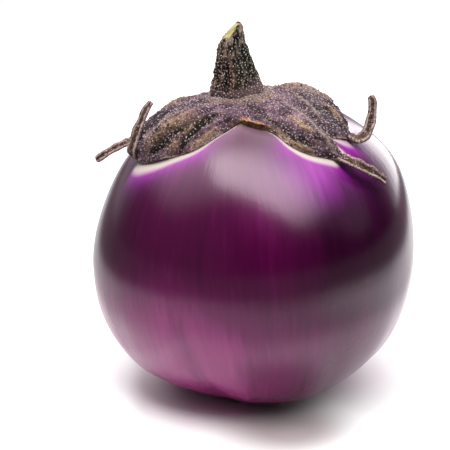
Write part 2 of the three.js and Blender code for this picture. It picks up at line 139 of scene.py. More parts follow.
# What is drawn on the leaf's upper face: its kind, height and half-width in millimetres, and the
# plan points that it runs through. Ridges and veins rise, grooves sink; the rest is only colour.
FOLDS = [
    ("ridge", 0.9, 1.4, [(-15.2, -18.9), (-19.6, -20.5), (-24.3, -21.0), (-28.3, -21.0), (-33.2, -20.1)]),
    ("groove", 1.0, 0.95, [(-16.5, -21.3), (-20.5, -22.4), (-24.9, -22.8), (-30.8, -22.3)]),
    ("ridge", 0.6, 1.3, [(-12.7, -21.0), (-17.7, -23.1), (-21.4, -24.8), (-24.9, -26.4)]),
    ("groove", 1.0, 0.9, [(-4.8, -17.6), (-9.7, -21.0), (-14.0, -23.4), (-18.9, -26.2), (-23.1, -28.0)]),
    ("ridge", 0.4, 0.7, [(-8.0, -24.4), (-14.0, -27.2), (-19.0, -28.8)]),
    ("groove", 0.5, 0.6, [(-17.0, -16.6), (-18.6, -17.9), (-21.0, -18.3)]),
    ("groove", 0.5, 0.7, [(-20.0, -10.0), (-27.0, -13.0), (-34.0, -14.0)]),
    ("vein", 0.3, 0.5, [(-19.0, -13.0), (-26.0, -16.0), (-33.0, -17.5)]),
    ("vein", 0.6, 0.6, [(13.5, -9.6), (16.8, -12.7), (21.1, -18.5), (24.2, -25.4), (28.7, -29.4),
                        (32.0, -29.9)]),
    ("groove", 0.8, 1.1, [(3.3, -13.3), (8.0, -19.8), (12.7, -25.6), (17.5, -29.0), (24.0, -30.9)]),
    ("ridge", 0.7, 1.5, [(15.4, -19.0), (20.3, -24.7), (24.0, -28.0)]),
    ("ridge", 0.4, 0.8, [(10.0, -25.2), (16.0, -30.6), (23.0, -32.4)]),
    ("vein", 0.4, 0.7, [(16.0, 1.0), (18.9, -3.5), (21.9, -7.9), (23.5, -11.9), (25.3, -14.6)]),
    ("groove", 0.7, 1.0, [(18.2, -8.6), (21.4, -14.2), (25.6, -18.5), (28.4, -20.6)]),
    ("groove", 0.6, 0.9, [(22.0, -2.0), (28.0, -7.0), (33.0, -12.0)]),
    ("ridge", 0.5, 0.8, [(26.0, -2.0), (31.0, -7.0), (34.0, -13.0)]),
    ("groove", 0.7, 1.0, [(9.0, 18.0), (8.0, 26.0), (6.0, 36.0)]),
    ("ridge", 0.6, 0.9, [(1.0, 20.0), (2.0, 30.0), (4.0, 38.0)]),
    ("groove", 0.7, 0.9, [(-3.0, 21.0), (-2.0, 28.0), (2.0, 37.0)]),
    ("groove", 0.7, 0.9, [(-16.0, 20.0), (-24.0, 22.0), (-33.0, 20.5)]),
    ("ridge", 0.6, 0.9, [(-17.0, 15.0), (-26.0, 18.5), (-35.0, 19.5)]),
    ("ridge", 0.5, 0.7, [(-11.6, 2.7), (-10.6, -3.9), (-7.4, -8.2), (-2.2, -10.6), (3.6, -10.3),
                         (8.0, -7.2), (10.2, -2.0)]),
    ("dry", 0.0, 0.8, [(-3.4, -22.6), (-0.9, -20.8), (2.0, -22.2), (5.6, -24.1), (9.4, -26.3)]),
    ("blue", 0.0, 7.0, [(20.0, 0.0), (26.0, -6.0), (30.0, -12.0), (33.0, -16.0)]),
    ("blue", 0.0, 5.0, [(28.0, 3.0), (32.0, -3.0), (35.0, -9.0), (35.5, -14.0)]),
    ("vein", 0.0, 3.2, [(15.5, 8.5), (20.0, 10.5), (24.0, 8.5)]),
    ("blue", 0.0, 6.5, [(-15.0, -5.0), (-24.0, -10.0), (-32.0, -13.0)]),
    ("blue", 0.0, 2.2, [(14.0, -28.0), (20.0, -31.0)]),
]
FOLD_KINDS = ("ridge", "groove", "vein", "dry", "blue")
FOLD_SAMPLES = 70
# Where the edge stands off the skin: plan point, reach and height in millimetres.
EDGE_LIFTS = [(-31.8, -23.9, 4.5, 0.8), (-27.6, -26.6, 1.6, 0.5), (34.0, -18.6, 2.5, 0.4),
              (20.0, 25.0, 4.0, 0.9)]
# Ripples are given by their height and wavelength in millimetres and the seed of their directions.
LEAF_PLEATS = [(0.26, 3.4, 14), (0.13, 1.5, 17)]
LEAF_WRINKLES = [(0.13, 4.0, 11), (0.09, 1.8, 12), (0.06, 0.95, 13)]
TIP_CRUST = [(0.11, 1.6, 16)]
# Towards its rim the leaf waves, comes down to the skin and thins; a collar rises at the stem.
RIM_WAVE = 0.08
RIM_WAVELENGTH = 3.2
RIM_WAVE_SEED = 15
RIM_REACH = 3.0
RIM_GAP = 0.12
RIM_THINNING = 0.9
RIM_THINNING_REACH = 2.2
LEAF_GAP = CALYX_CLEARANCE - 0.2
COLLAR_HEIGHT = 1.2
COLLAR_REACH = 2.2
FAR_FROM_STEM = 40

# Prickles: a point from the body's centre near which each one stands, and its height.
PRICKLES = [((26.8, 6.9, 50.2), 1.7), ((16.0, 8.1, 55.2), 1.2), ((8.5, 14.5, 53.4), 1.0),
            ((-19.3, 5.6, 51.2), 0.8), ((21.9, 10.0, 52.9), 0.8)]
PRICKLE_RADIUS = 0.42
PRICKLE_SIDES = 7
PRICKLE_SUNK = 0.25
PRICKLE_ROOT = 0.3

# ---- stem: driving dimensions
STEM_PLAN_CENTRE = (-1.1, 0.4)
STEM_FOOT_RADIUS = 9.2
# Height, centre and radius of the stem's sections, evenly spaced in height.
STEM_PROFILE = [(55.6, -5.3, 9.0), (58.9, -5.4, 7.9), (62.2, -5.9, 7.0), (65.5, -6.3, 6.0),
                (68.8, -6.8, 5.2), (72.1, -7.2, 4.4), (75.4, -7.3, 3.9), (78.7, -7.3, 3.4)]
STEM_TOP = 78.4
STEM_CUT_POINT = (-7.3, 0.0, 76.6)
STEM_CUT_SLOPE = 0.98
STEM_RIBS = 5
STEM_RIB_DEPTH = 0.06
STEM_COLUMNS = 180
STEM_ROWS = 110
CUT_RINGS = 14
# The slanted cut's height depends on the section there, and is settled in a few steps.
CUT_STEPS = 6
STEM_SUNK = 0.5
CUT_CHIP_DEPTH = 1.3
CUT_HOLLOW = 0.25
# Shares: how much the stem narrows at its cut, where up the stem that begins, and how far up the
# bark blends out of the round foot.
CUT_BEVEL = 0.10
CUT_BEVEL_BEGINS = 0.93
FOOT_BLEND = 0.16
BARK_GROOVES = 23
BARK_GROOVE_DEPTH = 0.16
BARK_GROOVE_WANDER = 1.5
BARK_ROUGHNESS = [(0.16, 3.2, 21), (0.10, 1.4, 22)]
CUT_ROUGHNESS = [(0.05, 0.9, 23)]

# ---- skin: what is only colour
# The calyx's shade on the skin: how far from the pole it can reach (radians), and how finely its
# edges are followed.
SHADE_REACH = 1.45
EDGE_SAMPLES = 90
# The pale band beside an edge: how wide it is where its violet is full and where it is so narrow
# that a thin veil of cream takes its place (mm), and the shares of its width where its own cream
# ends and is full.
FULL_BAND = 1.4
NARROW_BAND = 0.2
THINNEST_BAND = 0.05
BAND_FADES = (1.25, 0.55)
VEIL = 0.24
VEIL_REACH = 5.0
# A violet patch below the front-right lobe: its azimuth, its widths on either side, and the polar
# angles where it begins, is full, thins and ends (degrees).
PATCH_AZIMUTH = -56
PATCH_RIGHT = 8
PATCH_LEFT = 16
PATCH_POLAR = (30, 40, 48, 68)
PATCH_STRENGTH = 0.85
# Between the two left lobes the skin grew in full light: azimuth and half-widths (degrees).
SUNLIT_AZIMUTH = -169
SUNLIT_INSIDE = 9
SUNLIT_OUTSIDE = 13
# Where cream and violet are weaker: azimuth, width (degrees) and the share that is lost. The cream's loss
# is painted shade on the band below the right lobe.
CREAM_LOST = (-24, 9, 0.55)
VIOLET_LOST = (-4, 13, 0.9)
# The purple's tone above the belly and its rise below it, with more on the side that grew in the
# shade. That side fades in and out at these degrees from the front, and there the rise begins
# and is full at a smaller polar angle: the angle, and how much smaller (degrees).
TONE_ABOVE = 0.50
TONE_BELOW = 0.30
TONE_SHADED = 0.14
SHADED_BEGINS = (-150, -60)
SHADED_ENDS = (6, -26)
BELOW_BEGINS = (86, 13)
BELOW_FULL = (116, 16)
# A paler patch below the calyx: its azimuth, width, polar angle and height (degrees), and how
# much its tone rises.
TONE_PATCH = (-78, 17, 60, 11, 0.24)
TONE_RIPPLES = [(0.03, 1.0, 31)]
# Streaks follow the meridians: along one, their pattern changes this much of what it does across.
STREAK_STRETCH = 0.12
# Sides where the purple is darker: azimuth and width (degrees), change of tone, and the share of
# the change that is lost below the belly.
TONE_SIDES = [(-46, 34, -0.42, 0.6), (120, 70, -0.06, 0.0), (-152, 22, -0.16, 0.7)]
# Streaks of tone: azimuth and width, the polar angles where each sets in, and the change. The last two
# are painted light on a ridge beside the pleat at -114 degrees and painted shade along that pleat.
TONE_STREAKS = [(-92, 22, 60, 80, 0.08), (-66, 28, 102, 120, -0.19), (-106, 7, 92, 108, 0.10),
                (-117, 4, 92, 108, -0.07)]


# ---- shared formulas
RIPPLE_SINES = 9
FAR_AWAY = 1e9
TINY = 1e-12
SLOPE_STEP = 1e-3
NEAR_POLE = 1e-6


def smoothstep(low, high, value):
    """0 below low, 1 above high, and 3t^2 - 2t^3 of the share t between them."""
    t = np.clip((value - low) / (high - low), 0.0, 1.0)
    return t * t * (3 - 2 * t)


def mix(a, b, share):
    """a where share is 0, b where it is 1."""
    return a + (b - a) * share


def unit(vectors):
    """Each vector divided by its length."""
    return vectors / np.maximum(np.linalg.norm(vectors, axis=-1, keepdims=True), TINY)


def turned_from(azimuth, middle):
    """How many degrees an azimuth (radians) lies anticlockwise of a middle, from -180 to 180."""
    return (azimuth / DEGREE - middle + 180) % 360 - 180


def bell(azimuth, middle, width):
    """A bell of an azimuth (radians): e to the minus square of its distance from the middle over
    the width, both in degrees."""
    return np.exp(-(turned_from(azimuth, middle) / width) ** 2)


def ripples(points, wavelength, seed):
    """Smooth noise between about -1 and 1: sines along seeded random directions, each with a
    wavelength near the one given, added up and divided by the root of their number."""
    draw = np.random.default_rng(seed)
    total = 0.0
    for _ in range(RIPPLE_SINES):
        direction = unit(draw.normal(size=3))
        spread = draw.uniform(0.65, 1.5)
        phase = draw.uniform(0, 2 * math.pi)
        total = total + np.sin(points @ direction * (2 * math.pi * spread / wavelength) + phase)
    return total / math.sqrt(RIPPLE_SINES)


def rippled(points, layers):
    """The sum of layers of ripples, each its height times its noise."""
    return sum(height * ripples(points, wavelength, seed) for height, wavelength, seed in layers)


def curve_through(points, t):
    """A point of a uniform Catmull-Rom curve through the points, at each share t of its way."""
    points = np.asarray(points, float)
    last = len(points) - 1
    place = np.clip(t, 0, 1) * last
    index = np.minimum(np.floor(place).astype(int), last - 1)
    u = (place - index)[..., None]
    before = points[np.maximum(index - 1, 0)]
    start = points[index]
    end = points[index + 1]
    after = points[np.minimum(index + 2, last)]
    leave = (end - before) / 2
    arrive = (after - start) / 2
    turn = 3 * (end - start) - 2 * leave - arrive
    settle = 2 * (start - end) + leave + arrive
    return start + leave * u + turn * u ** 2 + settle * u ** 3


def grid_quads(rows, columns):
    """Corner numbers of the cells of a grid with that many cells, row by row."""
    a = np.arange(rows)[:, None] * (columns + 1) + np.arange(columns)[None, :]
    return np.stack([a, a + columns + 1, a + columns + 2, a + 1], -1).reshape(-1, 4)


def ring_quads(rings, columns):
    """Corner numbers of the cells between rings of points that close on themselves."""
    start = np.arange(rings - 1)[:, None] * columns
    a = start + np.arange(columns)
    b = start + (np.arange(columns) + 1) % columns
    return np.stack([a, b, b + columns, a + columns], -1).reshape(-1, 4)


def ring_fan(first, columns, centre):
    """Triangles from each side of a ring of points, the first one numbered first, to its centre."""
    here = np.arange(columns)
    return np.stack([first + here, first + (here + 1) % columns, np.full(columns, centre)], -1)


def halved(quads):
    """Two triangles for each four-cornered cell."""
    return np.vstack([quads[:, [0, 1, 2]], quads[:, [0, 2, 3]]])


# ---- fruit
def direction_of(azimuth, polar):
    """The unit vector at an azimuth from +X and an angle down from the pole."""
    return np.stack([np.sin(polar) * np.cos(azimuth), np.sin(polar) * np.sin(azimuth),
                     np.cos(polar) + 0 * azimuth], -1)


def fruit_body(azimuth, polar):
    """The fruit about its own pole: a superellipse of revolution, radius and height each the
    sine or cosine raised to 2 / fullness, stretched by one bell-shaped term for each swell and
    drawn in or out by a narrow bell across each pleat, which grows towards the blossom end."""
    aside = np.cos(azimuth)
    across = np.abs(np.sin(polar))
    along = np.cos(polar)
    top = along >= 0
    fullness = np.where(top, SHOULDER_FULLNESS + SHOULDER_SIDE_DIFFERENCE * aside,
                        BOTTOM_FULLNESS + BOTTOM_SIDE_DIFFERENCE * aside)
    reach = np.where(top, FRUIT_HEIGHT - BELLY_HEIGHT, -BELLY_HEIGHT)
    radius = FRUIT_RADIUS * across ** (2 / fullness)
    height = reach * np.abs(along) ** (2 / fullness)
    facing = direction_of(azimuth, polar)
    stretch = 1.0
    for swell_azimuth, swell_polar, spread, swell_height in SWELLS:
        middle = direction_of(np.array(swell_azimuth * DEGREE), np.array(swell_polar * DEGREE))
        away = np.arccos(np.clip(facing @ middle, -1, 1)) / (spread * DEGREE)
        stretch = stretch + swell_height / FRUIT_RADIUS * np.exp(-away ** 2)
    low_down = smoothstep(PLEAT_BEGINS, PLEAT_DEEPEST, polar) * smoothstep(math.pi, PLEAT_FADES, polar)
    for pleat_azimuth, width, depth in PLEATS:
        stretch = stretch - depth / FRUIT_RADIUS * low_down * bell(azimuth, pleat_azimuth, width)
    round_part = np.stack([radius * aside, radius * np.sin(azimuth), height], -1)
    return round_part * stretch[..., None]


def leaned(points):
    """Points turned about the Y axis by the lean, the pole going towards -X."""
    x, y, z = points[..., 0], points[..., 1], points[..., 2]
    return np.stack([x * math.cos(LEAN) - z * math.sin(LEAN), y,
                     x * math.sin(LEAN) + z * math.cos(LEAN)], -1)


def fruit_surface(azimuth, polar, lift=0.0):
    """A point of the leaning fruit, and its outward normal, lift millimetres out along it."""
    azimuth, polar = np.broadcast_arrays(azimuth, polar)
    step = SLOPE_STEP
    steady = np.clip(polar, step, math.pi - step)
    around = fruit_body(azimuth + step, steady) - fruit_body(azimuth - step, steady)
    down = fruit_body(azimuth, steady + step) - fruit_body(azimuth, steady - step)
    normal = unit(np.cross(down, around))
    lift = np.broadcast_to(lift, polar.shape)
    point = fruit_body(azimuth, polar) + normal * lift[..., None]
    return leaned(point), leaned(normal)


def lay_on_fruit(x, y, lift):
    """A point of the flat plan laid on the fruit's top: its angle is kept, and its distance from
    the pole becomes an arc of the skin's radius."""
    return fruit_surface(np.arctan2(y, x), np.hypot(x, y) / SKIN_ARC_RADIUS, lift)


# ---- calyx
def edge_curve(notch, edge, s):
    """A lobe's edge on the plan: straight from the pole to the notch, then a curve to the tip."""
    notch = np.array(notch, float)
    straight = notch * (s / SEAM_SHARE)[..., None]
    free = curve_through([notch, *edge], (s - SEAM_SHARE) / (1 - SEAM_SHARE))
    return np.where((s <= SEAM_SHARE)[..., None], straight, free)


def lobe_plan(lobe, s, c):
    """The plan point at share s outwards and c across: its angle and its distance from the pole
    go evenly from the leading edge (c = -1) to the trailing edge (c = 1)."""
    steady = np.maximum(s, NEAR_POLE)
    lead = edge_curve(lobe["notch"], lobe["leading"], steady)
    trail = edge_curve(lobe["next_notch"], lobe["trailing"], steady)
    lead_angle = np.arctan2(lead[..., 1], lead[..., 0])
    trail_angle = np.arctan2(trail[..., 1], trail[..., 0])
    trail_angle = trail_angle + 2 * math.pi * (trail_angle < lead_angle)
    share = (c + 1) / 2
    angle = mix(lead_angle, trail_angle, share)
    reach = mix(np.hypot(lead[..., 0], lead[..., 1]), np.hypot(trail[..., 0], trail[..., 1]), share)
    reach = reach * np.minimum(s / NEAR_POLE, 1)
    return reach * np.cos(angle), reach * np.sin(angle)


def lobe_height(lobe, s, c):
    """Height of a lobe's upper face over the fruit, and how much of it is keel less groove: a
    dome that peaks along the keel, with one groove beside it."""
    to_notch = smoothstep(CROWN_SHARE, SEAM_SHARE, s)
    beyond = np.maximum(s - SEAM_SHARE, 0) / (1 - SEAM_SHARE)
    edge = (mix(CALYX_CROWN, CALYX_NOTCH_HEIGHT, to_notch)
            + (CALYX_EDGE_HEIGHT - CALYX_NOTCH_HEIGHT) * np.minimum(4 * beyond, 1))
    keel_from, keel_to, keel_height = lobe["keel"]
    groove_from, groove_to, groove_depth = lobe["groove"]
    keel_at = mix(keel_from, keel_to, beyond)
    groove_at = mix(groove_from, groove_to, beyond)
    aside = np.where(c > keel_at, (c - keel_at) / (1 - keel_at), (keel_at - c) / (1 + keel_at))
    outside = np.maximum(s - CROWN_SHARE, 0) / (1 - CROWN_SHARE)
    swell = np.sin(math.pi * outside ** (math.log(0.5) / math.log(lobe["crest"])))
    swell = np.maximum(swell, 0) ** SWELL_SHARPNESS
    dome = lobe["dome"] * swell * (1 - aside ** 2)
    keel = keel_height * swell * np.exp(-((c - keel_at) / KEEL_SPREAD) ** 2)
    groove = groove_depth * swell * np.exp(-((c - groove_at) / GROOVE_SPREAD) ** 2)
    inside = 1 - c ** 6
    return edge + inside * (dome + keel - groove), inside * (keel - groove)


def tip_rows(lobe, upper_row, lower_row):
    """The lobe's tip: a strip rolled up at its sides, its section an arc of the roll angle,
    carried along a curve from the lobe's end through the tip's points and turned by its twist."""
    c = np.linspace(-1, 1, len(upper_row))[:, None]
    over, under = upper_row[len(c) // 2], lower_row[len(c) // 2]
    route = np.vstack([(over + under) / 2, lobe["tip"]])
    side, base_width = unit(upper_row[-1] - upper_row[0]), np.linalg.norm(upper_row[-1] - upper_row[0])
    normal, base_thickness = unit(over - under), np.linalg.norm(over - under)
    upper, lower = [], []
    shares = np.arange(1, TIP_ROWS + 1) / TIP_ROWS
    for t in shares:
        centre = curve_through(route, np.array(t))
        forward = unit(curve_through(route, np.array(min(t + TIP_LOOK_AHEAD, 1)))
                       - curve_through(route, np.array(t - TIP_LOOK_AHEAD)))
        side = unit(side - forward * (side @ forward))
        upright = np.cross(forward, side)
        normal = unit(upright * (1 if upright @ normal > 0 else -1))
        settle = min(3 * t, 1)
        twist = lobe["tip_twist"] * settle ** 2 * DEGREE
        across = side * math.cos(twist) - normal * math.sin(twist)
        facing = normal * math.cos(twist) + side * math.sin(twist)
        into_end = max((t - 1 + TIP_END_ROUNDING) / TIP_END_ROUNDING, 0)
        rounding = math.sqrt(max(1 - into_end ** 2, 0.02))
        # The length of a lobe's name sets its waves apart from the other lobes'.
        waves = 1 + TIP_WAVE * math.sin(TIP_WAVE_RATE * t + 3 * len(lobe["name"]))
        slim = mix(lobe["tip_width"], lobe["tip_end"], t ** 2) * rounding * waves
        width = mix(base_width, slim, settle)
        roll = mix(TIP_BASE_ROLL, lobe["tip_roll"], settle) * DEGREE
        thickness = mix(base_thickness, TIP_THICKNESS, settle) * mix(1, rounding, 0.5)
        bend = c * roll
        sideways = width / 2 * np.sin(bend) / roll
        rise = width / 2 * (1 - np.cos(bend)) / roll
        outward = (facing * np.cos(bend) - across * np.sin(bend)) * thickness / 2
        section = centre + across * sideways + facing * rise
        upper.append(section + outward)
        lower.append(section - outward)
    return np.array(upper), np.array(lower), shares


def along_fold(points, width, x, y):
    """A bell across a curve on the plan, which fades in and out over the curve's ends."""
    shares = np.linspace(0, 1, FOLD_SAMPLES)
    fades = np.sin(math.pi * np.clip(shares, 0.05, 0.95)) ** 0.5
    strongest = 0.0 * x
    for (place_x, place_y), fade in zip(curve_through(points, shares), fades):
        apart = (x - place_x) ** 2 + (y - place_y) ** 2
        strongest = np.maximum(strongest, fade * np.exp(-apart / width ** 2))
    return strongest


def folds_at(x, y):
    """The strongest share of each kind of fold at plan points, and the relief of them all: each
    fold's bell times its height."""
    shares = {kind: 0.0 * x for kind in FOLD_KINDS}
    relief = 0.0 * x
    for kind, height, width, points in FOLDS:
        bell_here = along_fold(points, width, x, y)
        shares[kind] = np.maximum(shares[kind], bell_here)
        relief = relief + bell_here * height * (-1 if kind == "groove" else 1)
    return shares, relief


def calyx_sheets(lobe):
    """The upper and lower point grids of one lobe with its tip, and the per-point marks that its
    colour follows: millimetres from the free edge, relief, share outwards, share across and the
    folds. The relief is folds that run outwards, drawn ones and rippled ones, and finer wrinkles."""
    s = np.concatenate([np.linspace(0, SEAM_SHARE, SEAM_ROWS + 1),
                        np.linspace(SEAM_SHARE, 1, LOBE_ROWS + 1)[1:]])[:, None]
    c = np.linspace(-1, 1, lobe["columns"] + 1)[None, :]
    s, c = np.broadcast_arrays(s, c)
    x, y = lobe_plan(lobe, s, c)
    height, broad_relief = lobe_height(lobe, s, c)
    width_here = np.linalg.norm(np.diff(np.stack([x, y], -1), axis=1), axis=-1).sum(1)[:, None]
    from_edge = (1 - np.abs(c)) * width_here / 2
    before_notch = np.hypot(x, y) * (SEAM_SHARE / np.clip(s, 0.02, SEAM_SHARE) - 1)
    from_rim = np.hypot(from_edge, before_notch)
    near_rim = smoothstep(RIM_REACH, 0.2, from_rim)
    ground, normal = lay_on_fruit(x, y, 0.0)
    inside = smoothstep(0.0, RIM_REACH, from_edge) * smoothstep(0.12, 0.3, s)
    shares, drawn = folds_at(x, y)
    stretched = np.stack([c * width_here / 2, 0.2 * np.hypot(x, y), 0 * x + len(lobe["name"])], -1)
    relief = (drawn * mix(0.4, 1.0, inside) + rippled(stretched, LEAF_PLEATS) * inside
              + rippled(ground, LEAF_WRINKLES) * mix(0.35, 1.0, inside))
    lift = sum(lift_height * np.exp(-((x - lift_x) ** 2 + (y - lift_y) ** 2) / reach ** 2)
               for lift_x, lift_y, reach, lift_height in EDGE_LIFTS)
    lift = (lift + RIM_WAVE * (1 + ripples(ground, RIM_WAVELENGTH, RIM_WAVE_SEED))) * near_rim
    thinned = RIM_THINNING * smoothstep(RIM_THINNING_REACH, 0.0, from_rim)
    from_stem = np.hypot(x - STEM_PLAN_CENTRE[0], y - STEM_PLAN_CENTRE[1]) - STEM_FOOT_RADIUS
    collar = COLLAR_HEIGHT * np.exp(-(np.maximum(from_stem, 0) / COLLAR_REACH) ** 2)
    upper = ground + normal * (height + relief + lift + collar - thinned)[..., None]
    lower = ground + normal * (mix(LEAF_GAP, RIM_GAP, near_rim) + lift)[..., None]
    tip_upper, tip_lower, tip_shares = tip_rows(lobe, upper[-1], lower[-1])
    tip_s = np.broadcast_to(1 + tip_shares[:, None], tip_upper.shape[:2])
    tip_c = np.broadcast_to(c[0], tip_upper.shape[:2])
    tip_edge = (1 - np.abs(tip_c)) * lobe["tip_width"] / 2
    tip_upper = tip_upper + unit(tip_upper - tip_lower) * rippled(tip_upper, TIP_CRUST)[..., None]
    marks = {"edge_mm": (from_rim, tip_edge), "relief_mm": (broad_relief + relief, 0 * tip_edge),
             "outwards": (s, tip_s), "across": (c, tip_c),
             "stem_mm": (from_stem, tip_edge + FAR_FROM_STEM)}
    for kind, share in shares.items():
        marks[kind] = (share, share[-1] * (1 - tip_shares[:, None]) ** 2)
    marks = {name: np.vstack(parts) for name, parts in marks.items()}
    return np.vstack([upper, tip_upper]), np.vstack([lower, tip_lower]), marks


def calyx_mesh():
    """The whole calyx as one closed shell: each lobe's upper and lower grids, a rim of quads along
    its free edges and across its tip, and the seams between lobes welded."""
    points, quads = [], []
    marks = {"underside": []}
    base = 0
    for lobe in LOBES:
        upper, lower, lobe_marks = calyx_sheets(lobe)
        rows, columns = upper.shape[0] - 1, upper.shape[1] - 1
        count = upper.shape[0] * upper.shape[1]
        points += [upper.reshape(-1, 3), lower.reshape(-1, 3)]
        cells = grid_quads(rows, columns)
        quads += [base + cells, base + count + cells[:, ::-1]]
        lead = np.arange(SEAM_ROWS, rows) * (columns + 1)
        trail = lead + columns
        step = columns + 1
        quads.append(base + np.stack([lead, lead + count, lead + count + step, lead + step], -1))
        quads.append(base + np.stack([trail, trail + step, trail + count + step, trail + count], -1))
        end = rows * (columns + 1) + np.arange(columns)
        quads.append(base + np.stack([end, end + count, end + count + 1, end + 1], -1))
        for name, values in lobe_marks.items():
            marks.setdefault(name, []).extend([values.reshape(-1)] * 2)
        marks["underside"] += [np.zeros(count), np.ones(count)]
        base += 2 * count
    marks = {name: np.concatenate(values) for name, values in marks.items()}
    return weld(np.vstack(points), np.vstack(quads), marks)


def weld(points, quads, marks):
    """Joins points that are the same to a hundredth of a millimetre, and makes triangles of the
    quads, dropping those whose corners were joined."""
    _, first, number = np.unique(np.round(points, 2), axis=0, return_index=True, return_inverse=True)
    number = number.reshape(-1)
    triangles = halved(number[quads])
    a, b, c = triangles.T
    triangles = triangles[(a != b) & (b != c) & (c != a)]
    return points[first], triangles, {name: values[first] for name, values in marks.items()}


# ---- stem
def stem_section(height):
    """The stem's centre and radius at a height, on a curve through its sections."""
    profile = np.array(STEM_PROFILE)
    share = (height - profile[0, 0]) / (profile[-1, 0] - profile[0, 0])
    section = curve_through(profile[:, 1:], share)
    return section[..., 0], section[..., 1]


def stem_mesh():
    """The stem: rows from a foot sunk in the calyx's crown up to the slanted cut, each column's
    radius the section's times a rib wave and fine bark ridges, then rings that close the cut."""
    count = STEM_COLUMNS
    angle = np.arange(count) / count * 2 * math.pi
    rib = 1 + STEM_RIB_DEPTH * np.cos(STEM_RIBS * (angle + 0.5))
    foot, _ = lay_on_fruit(STEM_PLAN_CENTRE[0] + STEM_FOOT_RADIUS * rib * np.cos(angle),
                           STEM_PLAN_CENTRE[1] + STEM_FOOT_RADIUS * rib * np.sin(angle),
                           CALYX_CROWN - STEM_SUNK)
    cut_height = np.full(count, STEM_CUT_POINT[2])
    for _ in range(CUT_STEPS):
        centre, radius = stem_section(cut_height)
        x = centre + radius * rib * np.cos(angle)
        cut_height = np.minimum(STEM_CUT_POINT[2] + STEM_CUT_SLOPE * (x - STEM_CUT_POINT[0]), STEM_TOP)
    # The knife chipped the cut's front edge.
    chipped = smoothstep(0.1, 0.8, -np.sin(angle)) * smoothstep(0.8, 0.3, np.abs(np.cos(angle) + 0.1))
    cut_height = cut_height - CUT_CHIP_DEPTH * chipped
    share = (np.linspace(0, 1, STEM_ROWS + 1) ** 0.9)[:, None]
    height = mix(foot[None, :, 2], cut_height[None, :], share)
    centre, radius = stem_section(height)
    reach = radius * rib * (1 - CUT_BEVEL * smoothstep(CUT_BEVEL_BEGINS, 1.0, share))
    outward = np.stack([np.cos(angle) + 0 * height, np.sin(angle) + 0 * height, 0 * height], -1)
    wall = np.stack([centre + reach * np.cos(angle), reach * np.sin(angle), height], -1)
    wander = BARK_GROOVE_WANDER * np.sin(share * 7 + 3 * angle)
    grooves = BARK_GROOVE_DEPTH * np.sin(angle * BARK_GROOVES + wander)
    rough = rippled(wall, BARK_ROUGHNESS) + grooves * smoothstep(0.05, 0.3, share)
    at_foot = smoothstep(FOOT_BLEND, 0.0, share)
    wall = mix(wall + outward * rough[..., None], foot[None], at_foot[..., None])
    top_centre = np.array(STEM_CUT_POINT) - (CUT_HOLLOW, 0, CUT_HOLLOW)
    inwards = np.arange(1, CUT_RINGS) / CUT_RINGS
    rings = mix(wall[-1], top_centre, inwards[:, None, None])
    rings[..., 2] += rippled(rings, CUT_ROUGHNESS)
    rows = np.vstack([wall, rings])
    points = np.vstack([rows.reshape(-1, 3), top_centre, foot.mean(0)])
    top, bottom = len(points) - 2, len(points) - 1
    triangles = np.vstack([halved(ring_quads(len(rows), count)),
                           ring_fan((len(rows) - 1) * count, count, top),
                           ring_fan(0, count, bottom)[:, [1, 0, 2]]])
    cut = np.append(np.zeros(len(wall)), inwards)
    up = np.append(share[:, 0], np.ones(len(rings)))
    marks = {"cut": np.append(np.repeat(cut, count), [1.0, 0.0]),
             "up": np.append(np.repeat(up, count), [1.0, 0.0]),
             "side": np.append(np.tile(np.cos(angle), len(rows)), [0.0, 0.0])}
    return points, triangles, marks


# ---- hair tufts
TUFT_ARMS = 4
TUFT_ARM_WIDTH = 0.2
TUFT_ARM_HEIGHT = 1.6
TUFT_SUNK = 0.05
DRAWS_PER_TUFT = 4
# How thick the calyx's hairs are away from the stem, round its foot and in grooves, where those
# near the stem count 1, and how far outwards (share) and from the foot (millimetres) they reach.
HAIRS_AWAY = 0.3
HAIRS_AT_FOOT = 2.2
HAIRS_IN_GROOVES = 0.6
HAIRS_NEAR_STEM = 0.4
HAIRS_ROUND_FOOT = 3.0
HAIRS_END = 1.9


def tuft_mesh(roots, normals, sizes, seed):
    """One mesh of hair tufts: each a four-armed star of thin spikes that lean outwards from its
    root, its arms turned by a seeded draw, sunk a little in the surface."""
    draw = np.random.default_rng(seed)
    count = len(roots)
    helper = unit(np.cross(normals, draw.normal(size=(count, 3))))
    other = np.cross(normals, helper)
    half = TUFT_ARM_WIDTH * sizes[:, None]
    sunk = roots - normals * TUFT_SUNK
    points, triangles = [], []
    for arm in range(TUFT_ARMS):
        turn = 2 * math.pi * arm / TUFT_ARMS + draw.uniform(-0.5, 0.5, (count, 1))
        out = helper * np.cos(turn) + other * np.sin(turn)
        sideways = np.cross(normals, out)
        rise = draw.uniform(0.35, 1.1, (count, 1))
        reach = unit(out + normals * rise) * sizes[:, None]
        corners = [sunk + sideways * half, sunk - sideways * half,
                   sunk + normals * half * TUFT_ARM_HEIGHT, sunk + reach]
        points.append(np.stack(corners, 1).reshape(-1, 3))
        first = (arm * count + np.arange(count)[:, None]) * 4
        triangles += [first + face for face in np.array([(0, 2, 3), (2, 1, 3), (1, 0, 3), (0, 1, 2)])]
    return np.vstack(points), np.vstack(triangles)


def spaced(points, spacing, limit):
    """Indices of points taken in order, each kept if it is at least the spacing from all kept
    before it, found on a coarse hash of cells."""
    kept, cells = [], {}
    for index, point in enumerate(points):
        cell = tuple(np.floor(point / spacing).astype(int))
        near = [other for dx in (-1, 0, 1) for dy in (-1, 0, 1) for dz in (-1, 0, 1)
                for other in cells.get((cell[0] + dx, cell[1] + dy, cell[2] + dz), ())]
        if all(np.sum((points[other] - point) ** 2) > spacing ** 2 for other in near):
            kept.append(index)
            cells.setdefault(cell, []).append(index)
        if len(kept) >= limit:
            break
    return np.array(kept)


